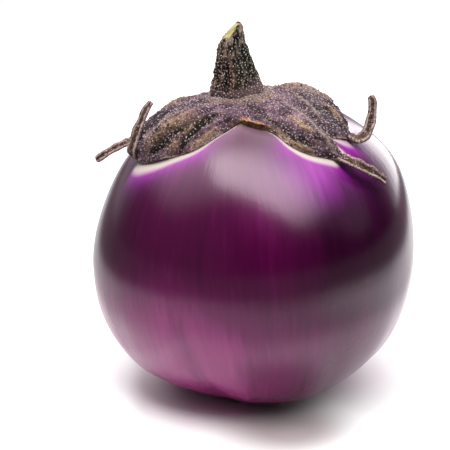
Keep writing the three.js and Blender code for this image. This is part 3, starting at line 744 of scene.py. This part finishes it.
def scatter(points, triangles, weights, spacing, limit, seed):
    """Seeded random places on a mesh, as likely as their triangle's area times its weight, at
    least the spacing apart: their positions and normals."""
    draw = np.random.default_rng(seed)
    corner = points[triangles]
    cross = np.cross(corner[:, 1] - corner[:, 0], corner[:, 2] - corner[:, 0])
    area = np.linalg.norm(cross, axis=1) / 2
    chance = area * weights[triangles].mean(1)
    chosen = draw.choice(len(triangles), limit * DRAWS_PER_TUFT, p=chance / chance.sum())
    a, b = draw.random((2, len(chosen), 1))
    flip = a + b > 1
    a, b = np.where(flip, 1 - a, a), np.where(flip, 1 - b, b)
    start, second, third = corner[chosen].transpose(1, 0, 2)
    places = start + (second - start) * a + (third - start) * b
    kept = spaced(places, spacing, limit)
    return places[kept], unit(cross[chosen])[kept]


# ---- prickles
def prickle_mesh(points, triangles, marks):
    """The calyx's prickles: small cones that stand on the upper face's points nearest to the places
    given, each a ring sunk in the face and an apex, with the share of its height as a mark."""
    corner = points[triangles]
    across = np.cross(corner[:, 1] - corner[:, 0], corner[:, 2] - corner[:, 0])
    normals = np.zeros_like(points)
    for column in range(3):
        np.add.at(normals, triangles[:, column], across)
    normals = unit(normals)
    turns = (np.arange(PRICKLE_SIDES) / PRICKLE_SIDES * 2 * math.pi)[:, None]
    spikes, faces = [], []
    for index, (place, height) in enumerate(PRICKLES):
        apart = np.where(marks["underside"] < 0.5, np.linalg.norm(points - place, axis=1), FAR_AWAY)
        root, upright = points[apart.argmin()], normals[apart.argmin()]
        helper = unit(np.cross(upright, [0.3, 0.8, 0.5]))
        other = np.cross(upright, helper)
        ring = (helper * np.cos(turns) + other * np.sin(turns)) * PRICKLE_RADIUS
        first = index * (PRICKLE_SIDES + 2)
        apex = first + PRICKLE_SIDES
        spikes += [root + ring - upright * PRICKLE_SUNK, root + upright * height,
                   root - upright * PRICKLE_ROOT]
        faces += [ring_fan(first, PRICKLE_SIDES, apex),
                  ring_fan(first, PRICKLE_SIDES, apex + 1)[:, [1, 0, 2]]]
    up = np.tile([0.0] * PRICKLE_SIDES + [1.0, 0.0], len(PRICKLES))
    return np.vstack(spikes), np.vstack(faces), {"up": up}


# ---- meshes and materials
def add_piece(name, points, triangles, material, marks=None, smooth=True):
    """A mesh object of the points (millimetres from the body's centre) and triangles, placed in
    metres, with its marks as point attributes. It rides on the one body."""
    mesh = bpy.data.meshes.new(name)
    mesh.vertices.add(len(points))
    mesh.vertices.foreach_set("co", ((points + BODY_CENTRE) * MM).astype(np.float32).reshape(-1))
    mesh.loops.add(triangles.size)
    mesh.loops.foreach_set("vertex_index", triangles.astype(np.int32).reshape(-1))
    mesh.polygons.add(len(triangles))
    mesh.polygons.foreach_set("loop_start", np.arange(0, triangles.size, 3, dtype=np.int32))
    mesh.polygons.foreach_set("use_smooth", np.full(len(triangles), smooth))
    mesh.update(calc_edges=True)
    for mark, values in (marks or {}).items():
        kind, field = ("FLOAT_VECTOR", "vector") if values.ndim == 2 else ("FLOAT", "value")
        attribute = mesh.attributes.new(mark, kind, "POINT")
        attribute.data.foreach_set(field, values.astype(np.float32).reshape(-1))
    mesh.validate()
    mesh.materials.append(material)
    piece = bpy.data.objects.new(name, mesh)
    bpy.context.scene.collection.objects.link(piece)
    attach(piece, "root")
    return piece


def linear(hex_colour):
    """An sRGB hex colour as linear red, green, blue and alpha."""
    channels = [int(hex_colour[i:i + 2], 16) / 255 for i in (1, 3, 5)]
    return tuple(v / 12.92 if v <= 0.04045 else ((v + 0.055) / 1.055) ** 2.4 for v in channels) + (1.0,)


class Shading:
    """The node tree of a material or a world, with a short call for each thing that it works out.
    A call takes numbers, hex colours and the sockets that other calls give."""

    def __init__(self, owner):
        owner.use_nodes = True
        self.owner = owner
        self.tree = owner.node_tree
        self.tree.nodes.clear()

    def add(self, kind, inputs=None, **settings):
        """A node of a kind with its settings; each input is linked to a socket or given a value."""
        made = self.tree.nodes.new(kind)
        for key, value in settings.items():
            setattr(made, key, value)
        for key, value in (inputs or {}).items():
            if isinstance(value, bpy.types.NodeSocket):
                self.tree.links.new(value, made.inputs[key])
            else:
                made.inputs[key].default_value = linear(value) if isinstance(value, str) else value
        return made

    def coordinates(self, kind="Object"):
        """Where the point is, or for a world's Generated which way it lies."""
        return self.add("ShaderNodeTexCoord").outputs[kind]

    def axes(self, vector):
        """A vector's X, Y and Z."""
        return self.add("ShaderNodeSeparateXYZ", {"Vector": vector}).outputs

    def marks(self, *names):
        """Marks of the mesh, read at each point."""
        return [self.add("ShaderNodeAttribute", attribute_name=name).outputs["Fac"] for name in names]

    def noise(self, place, scale, detail=2.0, roughness=0.5):
        """Smooth noise about a half, finer the higher the scale."""
        return self.add("ShaderNodeTexNoise", {"Vector": place, "Scale": scale, "Detail": detail,
                                               "Roughness": roughness}).outputs["Fac"]

    def math(self, operation, a, b=0.0, c=0.0):
        """The result of one operation on up to three numbers."""
        return self.add("ShaderNodeMath", {0: a, 1: b, 2: c}, operation=operation).outputs[0]

    def product(self, first, *others):
        """The numbers multiplied together."""
        for other in others:
            first = self.math("MULTIPLY", first, other)
        return first

    def total(self, first, *others):
        """The numbers added together."""
        for other in others:
            first = self.math("ADD", first, other)
        return first

    def range_of(self, value, low, high, to_low=0.0, to_high=1.0):
        """A value's range carried smoothly to another one, and held at its ends."""
        return self.add("ShaderNodeMapRange", {"Value": value, 1: low, 2: high, 3: to_low, 4: to_high},
                        interpolation_type="SMOOTHSTEP").outputs[0]

    def ramp(self, factor, *stops):
        """A colour ramp of (place, hex colour) stops read at a factor."""
        made = self.add("ShaderNodeValToRGB", {"Fac": factor})
        elements = made.color_ramp.elements
        while len(elements) < len(stops):
            elements.new(0.5)
        for element, (place, colour) in zip(elements, stops):
            element.position = place
            element.color = linear(colour)
        return made.outputs["Color"]

    def layers(self, base, *layers):
        """A colour with (factor, colour) layers over it, each hiding what is below where it is 1."""
        for factor, colour in layers:
            inputs = {0: factor, 6: base, 7: colour}
            base = self.add("ShaderNodeMix", inputs, data_type="RGBA").outputs[2]
        return base

    def surface(self, inputs, bump=None):
        """Gives the owner a Principled surface with these inputs, and a bump of (height, strength,
        metres deep)."""
        if bump:
            height, strength, depth = bump
            raised = {"Height": height, "Strength": strength, "Distance": depth}
            inputs = {**inputs, "Normal": self.add("ShaderNodeBump", raised).outputs[0]}
        shader = self.add("ShaderNodeBsdfPrincipled", inputs)
        self.add("ShaderNodeOutputMaterial", {"Surface": shader.outputs[0]})
        return self.owner


def eggplant_skin():
    """Waxy eggplant skin, grown: a thin glossy cuticle over purple cells. The eye sees a clear
    soft reflection over a deep colour, fine streaks along the meridians, and pale skin where the
    calyx kept the light off."""
    shade = Shading(bpy.data.materials.new("eggplant_skin"))
    meridian = shade.add("ShaderNodeAttribute", attribute_name="meridian").outputs["Vector"]
    cream, violet, tone, scar = shade.marks("cream", "violet", "tone", "scar")
    place = shade.coordinates()
    broad = shade.noise(meridian, 4.0, 3.0)
    fine = shade.noise(meridian, 22.0, 4.0, 0.6)
    streak = shade.total(shade.product(broad, 0.3), shade.product(fine, 0.35))
    purple = shade.ramp(shade.total(tone, shade.total(streak, -0.325)), (0.0, "#200117"),
                        (0.25, "#320225"), (0.5, "#490435"), (0.75, "#691250"), (1.0, "#973276"))
    glow = shade.math("MINIMUM", shade.product(violet, shade.math("MULTIPLY_ADD", fine, 1.2, 0.4)), 1.0)
    cork = shade.ramp(shade.noise(place, 900.0, 3.0), (0.3, "#5e4630"), (0.7, "#b59a72"))
    colour = shade.layers(purple, (glow, "#a02da4"), (cream, "#cfbfb8"), (scar, cork))
    dimples = shade.noise(place, 420.0)
    # The purple cells just under the wax tint what it reflects.
    return shade.surface({"Base Color": colour, "Roughness": shade.range_of(scar, 0.0, 1.0, 0.2, 0.85),
                          "IOR": 1.6, "Specular Tint": (1.0, 0.82, 0.93, 1.0)},
                         bump=(shade.total(shade.product(dimples, 0.35), fine), 0.06, 0.0008))


def calyx_leaf():
    """Drying eggplant sepal, grown: thick leathery leaf with pale hairs. The eye sees a dull grey-mauve,
    brown along ridges, near black in grooves as painted shade, and a thin dry rim, paler with painted rim
    light."""
    shade = Shading(bpy.data.materials.new("calyx_leaf"))
    edge, relief, outwards, across, from_stem, underside = shade.marks(
        "edge_mm", "relief_mm", "outwards", "across", "stem_mm", "underside")
    ridge, groove, vein, dry, blue = shade.marks(*FOLD_KINDS)
    place = shade.coordinates()
    patches = shade.noise(place, 160.0, 5.0, 0.6)
    grain = shade.noise(place, 1300.0, 3.0, 0.65)
    uneven = shade.range_of(patches, 0.32, 0.52)
    mauve = shade.ramp(patches, (0.34, "#3e2a35"), (0.5, "#624957"), (0.64, "#876972"))
    slate = shade.ramp(patches, (0.34, "#1e1720"), (0.5, "#352b35"), (0.64, "#4e424b"))
    raised = shade.math("MAXIMUM", ridge, shade.product(shade.range_of(relief, 0.35, 1.0), 0.4))
    # Painted shade: grooves and deep relief go near black.
    sunk = shade.math("MAXIMUM", shade.product(groove, 0.95), shade.range_of(relief, -0.45, -1.2))
    at_foot = shade.range_of(shade.math("MULTIPLY_ADD", patches, 4.0, from_stem), 5.4, 2.8)
    # Tips are dry: pale rolled rims, their dry colour with painted highlight, on both sides of a dark
    # channel that is painted shade; their darker underside is painted shade too.
    tip = shade.product(shade.range_of(outwards, 0.97, 1.12), 0.85)
    tip_colour = shade.ramp(shade.math("ABSOLUTE", across), (0.0, "#2e2018"), (0.3, "#524232"),
                            (0.66, "#6c5947"), (0.84, "#e6cac4"))
    tip_colour = shade.layers(tip_colour, (shade.product(uneven, 0.35), "#6a4a3a"),
                              (underside, "#4d3532"))
    # The rim along the free edges: its dry colour, brightened as painted rim light.
    rim = shade.product(shade.range_of(edge, 0.45, 0.05), shade.range_of(outwards, 1.1, 0.95),
                        shade.range_of(grain, 0.4, 0.5), 0.85)
    rim_colour = shade.ramp(patches, (0.42, "#6f5445"), (0.5, "#b09584"), (0.58, "#e8d3c8"))
    dark_specks = shade.product(shade.range_of(grain, 0.48, 0.36), 0.85)
    pale_specks = shade.product(shade.range_of(grain, 0.57, 0.68), 0.65)
    colour = shade.layers(
        mauve, (blue, slate), (shade.product(raised, uneven), "#a58668"), (sunk, "#231d15"),
        (shade.product(vein, 0.75), "#ab988e"), (shade.product(dry, uneven), "#b98348"),
        (at_foot, "#78635f"), (tip, tip_colour), (rim, rim_colour), (dark_specks, "#1e1517"),
        (pale_specks, "#cdb4b4"))
    return shade.surface({"Base Color": colour, "Roughness": 0.75, "Specular IOR Level": 0.1},
                         bump=(grain, 0.8, 0.0007))


def stem_bark():
    """Woody green stem gone brown-black, cut with a knife: fibrous bark round pale wet wood. The eye sees
    dull ribs, brown on one side and greenish on the other, a painted highlight on the bark towards the
    cut, and a cream cut."""
    shade = Shading(bpy.data.materials.new("stem_bark"))
    cut, up, side = shade.marks("cut", "up", "side")
    stretched = shade.add("ShaderNodeMapping", {"Vector": shade.coordinates(),
                                                "Scale": (1.0, 1.0, 0.25)}).outputs[0]
    fibre = shade.noise(stretched, 800.0, 5.0, 0.65)
    patches = shade.noise(stretched, 180.0, 3.0)
    brown = shade.ramp(fibre, (0.4, "#0b0706"), (0.52, "#36251f"), (0.64, "#937262"))
    green = shade.ramp(fibre, (0.4, "#090806"), (0.52, "#2a261f"), (0.64, "#6b634e"))
    to_green = shade.range_of(shade.total(side, patches), 0.3, 0.9)
    foot = shade.math("MULTIPLY_ADD", side, -0.03, shade.math("MULTIPLY_ADD", patches, -0.2, up))
    # Painted highlight: the bark paler in its fibres towards the cut.
    top_highlight = shade.product(shade.range_of(up, 0.6, 1.0), shade.range_of(fibre, 0.42, 0.6))
    wood = shade.ramp(fibre, (0.3, "#9c8d58"), (0.7, "#c9c08a"))
    colour = shade.layers(brown, (to_green, green), (shade.range_of(foot, 0.17, 0.04), "#604c4d"),
                          (top_highlight, "#a48f7f"), (shade.range_of(cut, 0.1, 0.28), wood))
    return shade.surface({"Base Color": colour, "Roughness": 0.75, "Specular IOR Level": 0.15},
                         bump=(fibre, 0.9, 0.0008))


def pale_hair():
    """Dry plant hair, grown: hollow pale fibres that scatter light. The eye sees cream specks."""
    shade = Shading(bpy.data.materials.new("plant_hair"))
    tone = shade.noise(shade.coordinates(), 1200.0)
    colour = shade.ramp(tone, (0.35, "#b8aaa5"), (0.65, "#f5eae5"))
    return shade.surface({"Base Color": colour, "Roughness": 0.6})


def prickle_horn():
    """Eggplant prickle, grown: hard horn-like tissue. The eye sees a dark spike with a pale point."""
    shade = Shading(bpy.data.materials.new("prickle_horn"))
    colour = shade.ramp(*shade.marks("up"), (0.1, "#5b4038"), (0.4, "#1d1112"), (0.75, "#2a1718"),
                        (1.0, "#b59a8e"))
    return shade.surface({"Base Color": colour, "Roughness": 0.5})


def studio_paper():
    """White seamless paper, matte, with painted light: bright in the middle and falling off away from it,
    lighter to the right, a little darker at the left round the fruit, and a painted shadow beside its
    foot.
    """
    shade = Shading(bpy.data.materials.new("white_paper"))
    place = shade.coordinates()
    x, y, _ = shade.axes(place)
    # Distance from a line that runs from under the fruit straight back, in metres.
    behind = shade.math("MAXIMUM", shade.math("SUBTRACT", y, 0.8), 0.0)
    along = shade.total(shade.math("MINIMUM", y, 0.0), behind)
    sideways = shade.math("MAXIMUM", shade.product(x, 0.74), shade.product(x, -1.0))
    away = shade.math("SQRT", shade.total(shade.product(along, along), shade.product(sideways, sideways)))
    # Painted shadow: the paper is darker at a spot beside the fruit's foot, where the fruit keeps the
    # light off it most.
    from_spot = shade.add("ShaderNodeVectorMath", {0: place, 1: (0.014, -0.042, 0.0)},
                          operation="DISTANCE").outputs["Value"]
    # Painted light: the paper lighter towards the right.
    sides = shade.layers("#bebebe", (shade.range_of(x, 0.06, 0.18), "#f8f8f8"))
    # Painted shade: round the fruit the paper is a little darker at its left, but for a narrow strip, and
    # white to the right.
    left_strip = shade.math("MINIMUM", shade.range_of(x, -0.034, -0.042),
                            shade.range_of(x, -0.056, -0.05))
    white = shade.math("MAXIMUM", shade.range_of(x, -0.005, 0.03), left_strip)
    inside = shade.layers("#ece9e9", (white, "#ffffff"))
    # Painted light falling off: the paper grey far from the middle, lighter in rings towards it.
    colour = shade.layers("#555555", (shade.range_of(away, 0.22, 0.14), sides),
                          (shade.range_of(away, 0.1, 0.065), inside),
                          (shade.range_of(from_spot, 0.03, 0.006), "#aca1a2"))
    return shade.surface({"Base Color": colour, "Roughness": 0.9, "Specular IOR Level": 0.1})


# ---- pieces
def calyx_edges():
    """Points along every free edge of the calyx on the plan, with the width of the pale band that
    each one shades, nothing at the notches and widest beside the tips, and how far its violet
    glow reaches."""
    places, bands, lengths = [], [], []
    s = np.linspace(SEAM_SHARE, 1, EDGE_SAMPLES)
    beyond_notch = smoothstep(SEAM_SHARE + 0.02, SEAM_SHARE + 0.05, s)
    grown = beyond_notch * mix(0.1, 1.0, smoothstep(0.48, 0.95, s))
    for lobe in LOBES:
        for notch, edge in (("notch", "leading"), ("next_notch", "trailing")):
            places.append(edge_curve(lobe[notch], lobe[edge], s))
            bands.append(lobe["shade_band"] * grown)
            lengths.append(0 * s + lobe["glow"])
    return np.vstack(places), np.concatenate(bands), np.concatenate(lengths)


def shaded_skin(azimuth, polar):
    """How cream and how violet the skin is: from its distance to the calyx's edge on the plan
    over the pale band's width there, and a violet glow that fades beyond the band."""
    near = polar < SHADE_REACH
    arc = polar[near] * SKIN_ARC_RADIUS
    x, y = arc * np.cos(azimuth[near]), arc * np.sin(azimuth[near])
    best = np.full(len(x), FAR_AWAY)
    band = np.zeros(len(x))
    length = np.ones(len(x))
    for (place_x, place_y), width, reach in zip(*calyx_edges()):
        away = np.hypot(x - place_x, y - place_y)
        closer = away < best
        best = np.where(closer, away, best)
        band = np.where(closer, width, band)
        length = np.where(closer, reach, length)
    veil = VEIL * np.exp(-best / VEIL_REACH) * smoothstep(FULL_BAND, NARROW_BAND, band)
    glow = np.exp(-np.maximum(best - band, 0) / length)
    cream = np.zeros_like(polar)
    violet = np.zeros_like(polar)
    in_band = smoothstep(*BAND_FADES, best / np.maximum(band, THINNEST_BAND))
    cream[near] = np.maximum(veil, in_band)
    violet[near] = glow * smoothstep(0.0, FULL_BAND, band)
    aside = turned_from(azimuth, PATCH_AZIMUTH)
    begins, full, thins, ends = PATCH_POLAR
    patch = np.exp(-(aside / np.where(aside > 0, PATCH_RIGHT, PATCH_LEFT)) ** 2)
    patch = patch * smoothstep(ends, thins, polar / DEGREE) * smoothstep(begins, full, polar / DEGREE)
    violet = np.maximum(violet, PATCH_STRENGTH * patch)
    shaded = smoothstep(SUNLIT_INSIDE, SUNLIT_OUTSIDE, np.abs(turned_from(azimuth, SUNLIT_AZIMUTH)))
    # Less cream below the right lobe is painted shade.
    for values, (middle, width, lost) in ((cream, CREAM_LOST), (violet, VIOLET_LOST)):
        values *= shaded
        values *= 1 - lost * bell(azimuth, middle, width)
    return cream, violet


def skin_tone(azimuth, polar, facing):
    """How light the purple is, from 0 (almost black) to 1 (magenta): darkest on the side that grew
    towards the sun, lighter below the belly, with painted light on a ridge beside a pleat and painted
    shade along the pleat."""
    polar = polar / DEGREE
    from_front = turned_from(azimuth, -90)
    shaded = smoothstep(*SHADED_ENDS, from_front) * smoothstep(*SHADED_BEGINS, from_front)
    begins, full = (angle - less * shaded for angle, less in (BELOW_BEGINS, BELOW_FULL))
    below = smoothstep(begins, full, polar)
    tone = TONE_ABOVE + below * (TONE_BELOW + TONE_SHADED * shaded)
    middle, width, height, spread, change = TONE_PATCH
    tone = tone + change * bell(azimuth, middle, width) * np.exp(-((polar - height) / spread) ** 2)
    for middle, width, change, lost_below in TONE_SIDES:
        tone = tone + change * bell(azimuth, middle, width) * (1 - lost_below * below)
    # The last two streaks are painted light and painted shade of a pleat.
    for middle, width, low, high, change in TONE_STREAKS:
        tone = tone + change * bell(azimuth, middle, width) * smoothstep(low, high, polar)
    return tone + rippled(facing, TONE_RIPPLES)


def make_fruit():
    """The fruit as one closed grid from pole to pole, pressed flat where it rests, with its
    blossom scar hollowed a little into the flat."""
    columns = FRUIT_COLUMNS
    row_angles = np.append(np.linspace(0, SHOULDER_ANGLE, SHOULDER_ROWS + 1)[1:],
                           np.linspace(SHOULDER_ANGLE, math.pi, LOWER_ROWS + 1)[1:-1])
    azimuth, polar = np.meshgrid(np.arange(columns) / columns * 2 * math.pi, row_angles)
    azimuth = np.append(azimuth, [0, 0])
    polar = np.append(polar, [0, math.pi])
    points, _ = fruit_surface(azimuth, polar)
    from_scar = (math.pi - polar) * SKIN_ARC_RADIUS
    scar = smoothstep(SCAR_RADIUS, SCAR_RADIUS * SCAR_CORE, from_scar)
    floor = -BODY_CENTRE[2] + SCAR_DEPTH * smoothstep(SCAR_RADIUS, 0.0, from_scar)
    points[:, 2] = np.maximum(points[:, 2], floor)
    last_ring = (len(row_angles) - 1) * columns
    top, bottom = len(points) - 2, len(points) - 1
    triangles = np.vstack([halved(ring_quads(len(row_angles), columns)[:, [0, 3, 2, 1]]),
                           ring_fan(0, columns, top)[:, [2, 0, 1]],
                           ring_fan(last_ring, columns, bottom)[:, [2, 1, 0]]])
    cream, violet = shaded_skin(azimuth, polar)
    tone = skin_tone(azimuth, polar, direction_of(azimuth, polar))
    meridian = np.stack([np.cos(azimuth), np.sin(azimuth), STREAK_STRETCH * polar], -1)
    marks = {"cream": cream, "violet": violet, "meridian": meridian, "tone": tone, "scar": scar}
    return add_piece("fruit_skin", points, triangles, eggplant_skin(), marks)


def add_tufts(name, points, triangles, weights, hair, spacing, limit, sizes, seed):
    """A piece of hair tufts on a mesh, as thick as the weights ask, of a range of sizes. The seed
    and the two that follow it draw their places, sizes and turns."""
    places, normals = scatter(points, triangles, weights, spacing, limit, seed)
    drawn = np.random.default_rng(seed + 1).uniform(*sizes, len(places))
    tufts, faces = tuft_mesh(places, normals, drawn, seed + 2)
    add_piece(name, tufts, faces, hair, smooth=False)


def make_calyx(hair):
    """The calyx shell, the hair tufts on its upper face, thicker towards the stem, and prickles."""
    points, triangles, marks = calyx_mesh()
    leaf = add_piece("calyx_leaves", points, triangles, calyx_leaf(), marks)
    near_stem = np.exp(-(marks["outwards"] / HAIRS_NEAR_STEM) ** 2)
    round_foot = np.exp(-(marks["stem_mm"] / HAIRS_ROUND_FOOT) ** 2)
    hairy = (1 - marks["underside"]) * (marks["outwards"] < HAIRS_END)
    weights = hairy * (HAIRS_AWAY + near_stem + HAIRS_AT_FOOT * round_foot
                       + HAIRS_IN_GROOVES * marks["groove"])
    add_tufts("calyx_hairs", points, triangles, weights, hair, spacing=0.8, limit=2400,
              sizes=(0.2, 0.55), seed=41)
    spikes, sides, spike_marks = prickle_mesh(points, triangles, marks)
    add_piece("calyx_prickles", spikes, sides, prickle_horn(), spike_marks)
    return leaf


def make_stem(hair):
    """The stem with its slanted cut, and the hair tufts on its bark, thicker at its foot."""
    points, triangles, marks = stem_mesh()
    stalk = add_piece("stem_stalk", points, triangles, stem_bark(), marks)
    weights = (marks["cut"] < 0.01) * (marks["up"] > 0.0) * (1 + 1.5 * smoothstep(0.3, 0.08, marks["up"]))
    add_tufts("stem_hairs", points, triangles, weights, hair, spacing=0.85, limit=1400,
              sizes=(0.28, 0.6), seed=51)
    return stalk


hair_material = pale_hair()
fruit_piece = make_fruit()
leaf_piece = make_calyx(hair_material)
stalk_piece = make_stem(hair_material)
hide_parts("fruit")
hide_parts("calyx")
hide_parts("stem")

# ---- floor, light and camera
FLOOR_SIZE = 8.0
bpy.ops.mesh.primitive_plane_add(size=FLOOR_SIZE, location=(0, 0, 0))
floor_object = bpy.context.object
floor_object.name = "floor"
floor_object.data.materials.append(studio_paper())


def box_light(shade, across, along, edges, strength):
    """A soft-edged rectangle of light: the product of its strength and a smooth rise from no light
    to full light at each of its edges."""
    left, right, near, far = edges
    return shade.product(shade.range_of(across, *left), shade.range_of(across, *right),
                         shade.range_of(along, *near), shade.range_of(along, *far), strength)


def studio_light():
    """The studio round the object: a big soft key light and a fainter canopy on the ceiling, a
    strip on each side behind, and a dim light from the left. Each edge is a pair of places, where
    there is no light and where the light is full."""
    world = bpy.data.worlds.new("studio_surround")
    bpy.context.scene.world = world
    sky = Shading(world)
    x, y, z = sky.axes(sky.coordinates("Generated"))
    up = sky.math("MAXIMUM", z, 0.05)
    # Where each direction meets a ceiling one unit up: to the right, and towards the camera.
    right = sky.math("DIVIDE", x, up)
    near = sky.product(sky.math("DIVIDE", y, up), -1.0)
    key = box_light(sky, right, near, [(-1.2, -1.1), (1.65, 0.0), (-0.4, 0.0), (2.1, 0.75)], 7.1)
    left_side = sky.range_of(right, -0.6, -0.42)
    left_corner = sky.range_of(sky.math("MULTIPLY_ADD", near, -1.3, right), -1.2, -0.75)
    right_fade = sky.range_of(sky.math("MULTIPLY_ADD", near, -2.0, right), 0.45, -0.6, 0.24, 1.0)
    key = sky.product(key, left_side, left_corner, right_fade)
    canopy = box_light(sky, right, near, [(-2.2, -0.6), (1.2, 0.5), (-2.6, -1.0), (0.9, -0.2)], 2.1)
    canopy = sky.product(canopy, sky.range_of(right, -0.5, -0.2, 1.0, 0.5))
    right_back = box_light(sky, x, y, [(0.2, 0.42), (2.0, 1.5), (0.56, 0.76), (2.0, 1.5)], 5.5)
    right_back = sky.product(right_back, sky.range_of(z, 0.5, 0.3))
    left_back = box_light(sky, x, y, [(2.0, 1.5), (0.3, 0.0), (0.35, 0.75), (2.0, 1.5)], 0.4)
    right_above = box_light(sky, right, near, [(0.9, 1.5), (9.0, 4.0), (-0.6, -0.2), (1.7, 0.6)], 0.3)
    left_front = sky.range_of(x, 0.0, -0.6, 0.005, 0.1)
    strength = sky.total(key, canopy, right_back, left_back, right_above, left_front)
    background = sky.add("ShaderNodeBackground", {"Color": (1, 1, 1, 1), "Strength": strength})
    sky.add("ShaderNodeOutputWorld", {"Surface": background.outputs[0]})


studio_light()

# The camera looks along +Y, a little down, with a long lens, the fruit low and right of centre.
VIEW_ELEVATION = 18 * DEGREE
VIEW_DISTANCE = 700.0
SCALE_AT_CENTRE = 2.9224
IMAGE_SIZE = 450
SENSOR_WIDTH = 36.0
CENTRE_ON_IMAGE = (253.2, 248.0)
right_way = np.array([1.0, 0.0, 0.0])
up_way = np.array([0.0, math.sin(VIEW_ELEVATION), math.cos(VIEW_ELEVATION)])
back_way = np.array([0.0, -math.cos(VIEW_ELEVATION), math.sin(VIEW_ELEVATION)])
camera_place = (BODY_CENTRE + back_way * VIEW_DISTANCE
                - right_way * (CENTRE_ON_IMAGE[0] - IMAGE_SIZE / 2) / SCALE_AT_CENTRE
                + up_way * (CENTRE_ON_IMAGE[1] - IMAGE_SIZE / 2) / SCALE_AT_CENTRE)
camera_data = bpy.data.cameras.new("camera")
camera_data.sensor_width = SENSOR_WIDTH
camera_data.lens = SCALE_AT_CENTRE * VIEW_DISTANCE / IMAGE_SIZE * SENSOR_WIDTH
camera = bpy.data.objects.new("camera", camera_data)
bpy.context.scene.collection.objects.link(camera)
camera.location = camera_place * MM
camera.rotation_euler = (math.pi / 2 - VIEW_ELEVATION, 0, 0)
bpy.context.scene.camera = camera
bpy.context.scene.view_settings.view_transform = "Standard"
